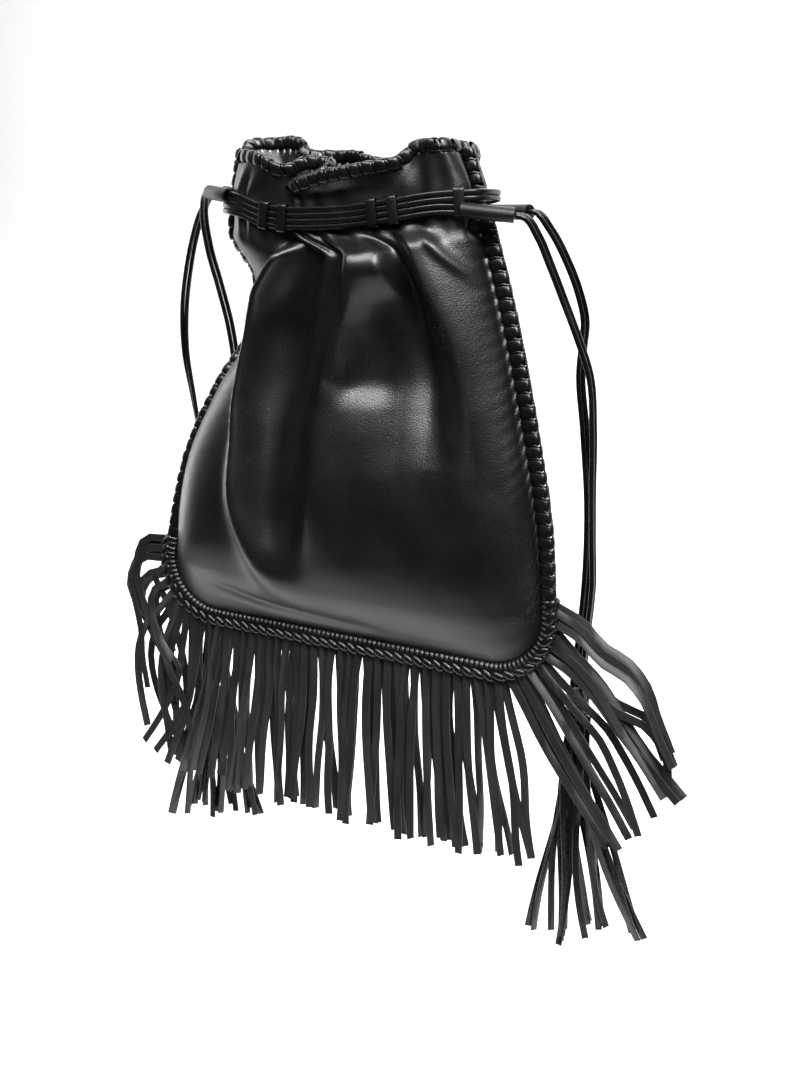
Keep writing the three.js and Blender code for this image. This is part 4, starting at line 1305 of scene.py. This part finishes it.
    def build(self, reach: Reach, node: str) -> bpy.types.Object:
        """Build one stretch of the fringe.

        Args:
            reach: Which stretch.
            node: The CAD node that it stands for.

        Returns:
            The stretch, knots and strips together.
        """
        seam = evenly(self.form.bottom_seam(), 4 * self.knots)
        shapes = self.knot_shapes()
        pile = Pile()
        section = rounded_outline(self.strip_width, self.strip_thickness, 0.0004, 1)
        for k, (place, run) in enumerate(zip(seam[2::4], tangents(seam)[2::4])):
            along = (k + 0.5) / self.knots
            if not reach.value[0] <= along < reach.value[1]:
                continue
            out = unit(np.cross(REAR, run))
            out = out * np.sign(0.6 * np.sign(place[0]) * out[0] - out[2])
            self.add_knot(pile, shapes, place, run, out, k)
            for n, (shift, depth) in enumerate(((-self.strip_shift, -0.0012), (self.strip_shift, 0.0006))):
                start = place + run * shift + out * 0.0008 + REAR * depth
                pile.add_strip(*self.strip_path(along, 2 * k + n, start), section, 1)
        finishes = [self.finishes.lace, self.finishes.strip]
        return dress(pile.make(f"{node}_strips", finishes, sharp=45), node)


# The middle line of each hanging pair of strands, in millimetres, from its sleeve to its tassel
STRAPS = {
    "strap_right_front": [
        (147, -9, 6), (153, -6, 5), (162, -1, -8), (171, 4, -29), (182, 9, -56), (194, 12, -84), (204, 14, -110),
        (209, 16, -153), (211, 17, -200), (213, 18, -240), (215, 19, -275), (213, 19, -318), (211, 20, -354),
        (211, 20, -364),
    ],
    "strap_right_back": [
        (150, 10, 9), (156, 8, 9), (166, 12, -3), (178, 19, -26), (187, 24, -49), (192, 28, -72), (190, 31, -92),
        (189, 32, -111), (195, 32, -155), (203, 31, -218), (205, 30, -274), (203, 29, -325), (201, 28, -354),
        (201, 28, -364),
    ],
    "strap_left_front": [
        (-142, -8, 17), (-147, -5, 16), (-155, 2, 3), (-159, 14, -28), (-160, 31, -62), (-158, 44, -98),
        (-157, 52, -134), (-158, 56, -180), (-161, 56, -225), (-165, 53, -270), (-169, 49, -315), (-170, 46, -342),
        (-170, 46, -352),
    ],
    "strap_left_back": [
        (-144, 12, 17), (-150, 9, 16), (-164, 12, 2), (-178, 18, -22), (-190, 25, -50), (-199, 31, -82),
        (-202, 36, -123), (-197, 41, -165), (-190, 45, -210), (-184, 48, -255), (-181, 48, -300), (-180, 46, -342),
        (-180, 46, -352),
    ],
}


@dataclass
class Tassel:
    """The measures of a tassel: a bound head with its strips."""

    head_radius: float = 0.0085
    head_height: float = 0.030
    coil_radius: float = 0.0088
    coil_turns: float = 4.2
    coil_top: float = 0.003
    coil_height: float = 0.024
    strips: int = 18
    length: float = 0.184
    length_spread: float = 0.045
    strip_start: float = 0.02
    inner_radius: float = 0.0072
    inner_depth: float = 0.009
    spread: float = 0.038
    right_shift: float = 0.022
    sway: float = 0.004
    depth_spread: float = 0.010
    fan: Array = field(default_factory=lambda: np.array([0.866, 0.5, 0.0]))
    depth: Array = field(default_factory=lambda: np.array([-0.5, 0.866, 0.0]))

    def add_head(self, pile: Pile, top: Array) -> None:
        """Add the head and its binding, below a point."""
        bpy.ops.mesh.primitive_cylinder_add(
            vertices=28, radius=self.head_radius, depth=self.head_height, location=(0, 0, -self.head_height / 2)
        )
        head = Shape.from_active()
        pile.add(head.points + top, head.faces)
        turns = np.linspace(0, 2 * math.pi * self.coil_turns, 130)
        fall = -self.coil_top - self.coil_height * turns / turns[-1]
        coil = np.stack([self.coil_radius * np.cos(turns), self.coil_radius * np.sin(turns), fall], axis=1)
        pile.add_strip(coil + top, UP, rounded_outline(0.0054, 0.0016, 0.0005, 2))

    def add_strips(self, pile: Pile, top: Array, shift: float, salt: int) -> None:
        """Add the strips.

        Args:
            pile: The pile.
            top: The head's top.
            shift: How far their ends lie to one side.
            salt: A number that gives them their own fall.
        """
        section = rounded_outline(0.0058, 0.0014, 0.0004, 1)
        q = np.linspace(0, 1, 13)[:, None]
        for i in range(self.strips):
            share = 2 * ((i * 7) % self.strips + 0.5) / self.strips - 1
            length = self.length * (1 + self.length_spread * scatter(i, salt + 1)) + self.strip_start / 2
            inside = self.fan * self.inner_radius * share + self.depth * self.inner_depth * scatter(i, salt)
            start = top + inside - UP * self.strip_start
            spread = self.spread * (share + 0.25 * scatter(i, salt + 2)) + shift
            sideways = self.fan * (spread * q**1.6 + self.sway * np.sin(5 * q + i))
            path = start + sideways + self.depth * self.depth_spread * scatter(i, salt + 5) * q - UP * length * q
            turn = math.pi / 3 + 0.6 * scatter(i, salt + 3)
            broad = unit(np.cross(tangents(path), np.array([math.cos(turn), -math.sin(turn), 0])))
            pile.add_strip(path, broad, section, 1)


@dataclass
class Ties:
    """The thongs that draw the neck, with their keepers, sleeves, hanging ends and tassels."""

    form: BagForm
    finishes: Finishes
    thong_height: float = 0.0044
    thong_thickness: float = 0.0032
    thong_corner: float = 0.0013
    neck_clearance: float = 0.002
    neck_span: tuple[float, float] = (54.0, 306.0)
    gap: float = 0.0003
    strand: float = 0.0040
    ring_power: float = 0.6
    sleeve_angle: float = 0.62
    sleeve_outer: float = 0.0060
    sleeve_bore: float = 0.0041
    sleeve_round: float = 0.00035
    sleeve_level: float = 0.0053
    sleeve_out: float = 0.0016
    keeper_width: float = 0.0085
    keeper_thickness: float = 0.0012
    keeper_room: float = 0.0016
    keeper_corner: float = 0.0018
    keeper_lean: float = 0.0012
    tassel_form: Tassel = field(default_factory=Tassel)

    def neck_run(self, angle: Array | float, level: float) -> Array:
        """Return points of the thongs' way round the neck.

        Args:
            angle: 0 at the right seam, going round by the front.
            level: The height above the band's middle.

        Returns:
            The points.
        """
        half = self.form.half_neck + self.thong_thickness / 2
        clear = self.neck_clearance + self.keeper_thickness + 5 * self.gap
        out = self.form.neck_out + clear + self.thong_thickness / 2
        angle = np.asarray(angle, float)
        x = half * signed_power(np.cos(angle), self.ring_power)
        y = -out * signed_power(np.sin(angle), self.ring_power)
        share = np.clip(x / half, -1, 1)
        lift = np.where(y <= 0, FRONT_BAND(share), BACK_BAND(share)) * self.form.neck_out
        return np.stack([x, y, lift + level], axis=-1)

    def sleeve_ends(self, side: int, face: int, strap: str) -> tuple[Array, Array]:
        """Return the two ends of a sleeve's middle line.

        Args:
            side: -1 on the left, 1 on the right.
            face: -1 at the front, 1 at the back.
            strap: The hanging pair that starts in it.

        Returns:
            The inner and the outer end.
        """
        angle = self.sleeve_angle if side > 0 else math.pi - self.sleeve_angle
        place = self.neck_run(-face * angle, -side * (self.thong_height + self.gap))
        lift = self.sleeve_level + self.gap - self.thong_height
        inner = place + np.array([0, face * self.sleeve_out, -side * lift])
        first, second = np.array(STRAPS[strap][:2]) / MM
        return inner, first - unit(second - first) * 4 * self.gap

    def neck_pair(self, side: int, node: str) -> bpy.types.Object:
        """Build the pair of thongs whose ends leave on one side.

        Args:
            side: -1 for the pair of the left ends, 1 for that of the right.
            node: The CAD node that it stands for.

        Returns:
            The pair.
        """
        name = "left" if side < 0 else "right"
        front = self.sleeve_ends(side, -1, f"strap_{name}_front")
        back = self.sleeve_ends(side, 1, f"strap_{name}_back")
        pitch = self.thong_height + self.gap
        turns = np.linspace(*np.radians(self.neck_span), 90)
        section = rounded_outline(self.thong_height, self.thong_thickness, self.thong_corner, 3)
        pile = Pile()
        for lift in (0.5, -0.5):
            ring = self.neck_run(turns if side > 0 else math.pi - turns, pitch * (lift - side))
            offset = UP * lift * self.strand
            ways = [front[1] + offset * 0.9, mix(front[1], front[0], 0.6) + offset, *ring]
            ways += [mix(back[1], back[0], 0.6) + offset, back[1] + offset * 0.9]
            pile.add_strip(smooth_path(np.array(ways), 0.003), UP, section)
        return dress(pile.make(f"{node}_pair", [self.finishes.thong]), node)

    def keeper(self, share: float, face: int, node: str) -> bpy.types.Object:
        """Build one keeper: a flat leather loop round all four thongs.

        Args:
            share: Its share across the neck.
            face: -1 at the front, 1 at the back.
            node: The CAD node that it stands for.

        Returns:
            The loop.
        """
        angle = math.acos(float(signed_power(np.array(share), 1 / self.ring_power)))
        place = self.neck_run(-face * angle, 0.0)
        run = unit(self.neck_run(-face * (angle - 0.02), 0.0) - place)
        out = unit(np.cross(run, UP))
        out = out * (1 if out[1] * face > 0 else -1)
        up = np.cross(out, run) if np.cross(out, run)[2] > 0 else np.cross(run, out)
        height = 4 * self.thong_height + 6 * self.gap + self.keeper_room
        depth = self.thong_thickness + 4 * self.gap + self.keeper_thickness
        loop = rounded_outline(height, depth, self.keeper_corner, 5)
        lean = self.keeper_lean * scatter(share * 100, 4)
        path = place + loop[:, :1] * up + loop[:, 1:] * out + run * (loop[:, :1] / height * lean)
        path = np.concatenate([path[-1:], path, path[:1]])
        section = rounded_outline(self.keeper_width, self.keeper_thickness, 0.0004, 2)
        points, faces = sweep(path, run, section)
        return dress(new_piece(f"{node}_loop", points, faces, [self.finishes.lace]), node)

    def sleeve(self, side: int, face: int, strap: str, node: str) -> bpy.types.Object:
        """Build one sleeve: an open leather tube round the thongs.

        Args:
            side: -1 on the left, 1 on the right.
            face: -1 at the front, 1 at the back.
            strap: The hanging pair that starts in it.
            node: The CAD node that it stands for.

        Returns:
            The tube.
        """
        inner, outer = self.sleeve_ends(side, face, strap)
        bpy.ops.mesh.primitive_cylinder_add(
            vertices=40,
            radius=self.sleeve_outer,
            depth=float(np.linalg.norm(outer - inner)),
            end_fill_type="NOTHING",
            location=tuple((inner + outer) / 2),
        )
        piece = bpy.context.active_object
        piece.name = f"{node}_tube"
        piece.rotation_euler = Vector(outer - inner).to_track_quat("Z", "Y").to_euler()
        bpy.ops.object.transform_apply(location=True, rotation=True, scale=True)
        bpy.ops.object.mode_set(mode="EDIT")
        bpy.ops.mesh.select_all(action="SELECT")
        bpy.ops.mesh.subdivide(number_cuts=1)
        bpy.ops.object.mode_set(mode="OBJECT")
        wall = piece.modifiers.new("wall", "SOLIDIFY")
        wall.thickness = self.sleeve_outer - self.sleeve_bore
        wall.offset = -1
        rounding = piece.modifiers.new("rounding", "BEVEL")
        rounding.width = self.sleeve_round
        rounding.segments = 2
        rounding.limit_method = "ANGLE"
        for modifier in ("wall", "rounding"):
            bpy.ops.object.modifier_apply(modifier=modifier)
        piece.data.materials.append(self.finishes.sleeve)
        bpy.ops.object.shade_smooth_by_angle(angle=math.radians(DEFAULT_SHARP))
        return dress(piece, node)

    def tassel(self, side: int, salt: int, node: str) -> bpy.types.Object:
        """Build one tassel under the two hanging pairs of one side.

        Args:
            side: -1 on the left, 1 on the right.
            salt: A number that gives its strips their own fall.
            node: The CAD node that it stands for.

        Returns:
            The tassel.
        """
        name = "left" if side < 0 else "right"
        ends = [np.array(STRAPS[f"strap_{name}_{way}"][-1]) / MM for way in ("front", "back")]
        top = (ends[0] + ends[1]) / 2 - UP * 0.0006
        pile = Pile()
        self.tassel_form.add_head(pile, top)
        self.tassel_form.add_strips(pile, top, self.tassel_form.right_shift if side > 0 else 0, salt)
        finishes = [self.finishes.lace, self.finishes.thong]
        return dress(pile.make(f"{node}_strips", finishes, sharp=45), node)

    def strand_path(self, strap: str, lift: float, salt: int) -> Array:
        """Return the path of one of a hanging pair's two strands."""
        route = smooth_path(np.array(STRAPS[strap]) / MM, 0.004)
        far = lengths_along(route)
        run = tangents(route)
        q = (far / far[-1])[:, None]
        turn = mix(math.pi / 2, 1.2 + 0.9 * salt, ease(q * 1.3))
        across = unit(np.cross(run, np.array([0.35, 1.0, 0.12])))
        way = unit(across * np.cos(turn) + np.cross(run, across) * np.sin(turn))
        return route + way * (lift * self.strand * 1.04)

    def straps(self) -> None:
        section = rounded_outline(self.strand, self.strand * 0.8, self.strand * 0.32, 3)
        for salt, strap in enumerate(STRAPS):
            for n, lift in enumerate((0.5, -0.5)):
                path = self.strand_path(strap, lift, salt)
                broad = unit(np.cross(tangents(path), np.array([0.2, 1.0, 0.1])))
                points, faces = sweep(path, broad, section)
                piece = new_piece(f"{strap}_strand_{n + 1}", points, faces, [self.finishes.thong])
                dress(piece, strap)


@dataclass(frozen=True)
class SoftBox:
    """A soft box: where it stands, what it points at, its width and height, and its strength in watts."""

    name: str
    place: tuple[float, float, float]
    aim: tuple[float, float, float]
    size: tuple[float, float]
    power: float

    def build(self) -> None:
        """Add the light."""
        data = bpy.data.lights.new(self.name, "AREA")
        data.shape = "RECTANGLE"
        data.size, data.size_y = self.size
        data.energy = self.power
        lamp = bpy.data.objects.new(self.name, data)
        lamp.location = self.place
        lamp.rotation_euler = (Vector(self.aim) - Vector(self.place)).to_track_quat("-Z", "Y").to_euler()
        bpy.context.collection.objects.link(lamp)


BAG_MIDDLE = (0.0, 0.0, -0.2)
SOFT_BOXES = [
    SoftBox("left_box", (-2.0, 0.35, 0.3), BAG_MIDDLE, (0.6, 2.4), 24),
    SoftBox("right_box", (1.4, -1.35, 1.75), BAG_MIDDLE, (1.0, 1.2), 140),
    SoftBox("top_box", (-0.3, -1.3, 1.7), BAG_MIDDLE, (1.6, 0.9), 85),
    SoftBox("back_box", (0.0, 2.0, 2.4), (0.0, 1.9, -0.75), (5.0, 2.4), 200),
]


@dataclass
class Studio:
    """The camera, the floor and the soft lights."""

    lens: float = 50.0
    sensor: float = 36.0
    turn: float = 30.0
    tilt: float = 12.3
    roll: float = 1.82
    distance: float = 1.222
    target: tuple[float, float, float] = (0.050, 0.0, -0.253)
    floor_height: float = -0.75
    floor_front: float = -0.27
    world_strength: float = 0.05

    def camera(self) -> bpy.types.Object:
        """Make the camera at the photograph's angle and return it."""
        turn, tilt, roll = (math.radians(value) for value in (self.turn, self.tilt, self.roll))
        back = Vector((math.sin(turn) * math.cos(tilt), -math.cos(turn) * math.cos(tilt), math.sin(tilt)))
        right = Vector((math.cos(turn), math.sin(turn), 0))
        up = back.cross(right)
        right, up = right * math.cos(roll) + up * math.sin(roll), up * math.cos(roll) - right * math.sin(roll)
        place = Vector(self.target) + back * self.distance
        data = bpy.data.cameras.new("camera")
        data.lens = self.lens
        data.sensor_width = self.sensor
        camera = bpy.data.objects.new("camera", data)
        camera.matrix_world = Matrix.Translation(place) @ Matrix((right, up, back)).transposed().to_4x4()
        bpy.context.collection.objects.link(camera)
        bpy.context.scene.camera = camera
        return camera

    def floor(self) -> bpy.types.Object:
        """Make the pale floor, swept up behind into a wall and fanned out to the photograph's view."""
        line = [(self.floor_front, 0.0), (1.6, 0.0), (2.0, 0.04), (2.3, 0.2), (2.45, 0.5), (2.5, 1.0), (2.5, 4.0)]
        path = smooth_path(np.array([(0.0, y, self.floor_height + z) for y, z in line]), 0.1)
        fan = ease((path[:, 1] - self.floor_front) / 2.4)
        points = [(x, y, z) for (_, y, z), q in zip(path, fan) for x in (mix(-0.8, -6.0, q), mix(0.9, 5.0, q))]
        faces = [(2 * i, 2 * i + 1, 2 * i + 3, 2 * i + 2) for i in range(len(path) - 1)]
        floor = new_piece("floor", np.array(points), faces, [PaleFinish().build()], sharp=80)
        return floor

    def build(self) -> None:
        """Set up the studio."""
        self.camera()
        self.floor()
        scene = bpy.context.scene
        scene.world = bpy.data.worlds.new("soft_light")
        scene.world.use_nodes = True
        inputs = scene.world.node_tree.nodes["Background"].inputs
        inputs["Color"].default_value = (1, 1, 1, 1)
        inputs["Strength"].default_value = self.world_strength
        scene.view_settings.view_transform = "Standard"
        for box in SOFT_BOXES:
            box.build()


KEEPERS = {
    Face.FRONT: (-0.55, -0.4, 0.29, 0.44, 0.87),
    Face.BACK: (-0.6, -0.36, -0.2, 0.36, 0.52),
}


def main() -> None:
    """Build the bag piece by piece."""
    logging.basicConfig(level=logging.INFO, format="%(message)s")
    Studio().build()
    form, finishes = BagForm(), Finishes.build()
    ties = Ties(form, finishes)
    ties.tassel(1, 11, "tassel_right")
    ties.tassel(-1, 17, "tassel_left")
    ties.straps()
    panels = Panels(form, finishes)
    panels.build(FRONT, "front_panel")
    panels.build(BACK, "back_panel")
    lacing = Lacing(form, finishes, panels)
    lacing.side(-1, "side_lacing_left")
    lacing.side(1, "side_lacing_right")
    lacing.rim(FRONT, "rim_lacing_front")
    lacing.rim(BACK, "rim_lacing_back")
    fringe = Fringe(form, finishes)
    for reach in Reach:
        fringe.build(reach, f"fringe_{reach.name.lower()}")
    ties.neck_pair(-1, "neck_thongs_upper")
    ties.neck_pair(1, "neck_thongs_lower")
    for face, shares in KEEPERS.items():
        for i, share in enumerate(shares):
            ties.keeper(share, face.value, f"keeper_{face.name.lower()}_{i + 1}")
    for side, face in ((1, -1), (1, 1), (-1, -1), (-1, 1)):
        ends = f"{'right' if side > 0 else 'left'}_{'front' if face < 0 else 'back'}"
        ties.sleeve(side, face, f"strap_{ends}", f"sleeve_{ends}")


if __name__ == "__main__":
    main()
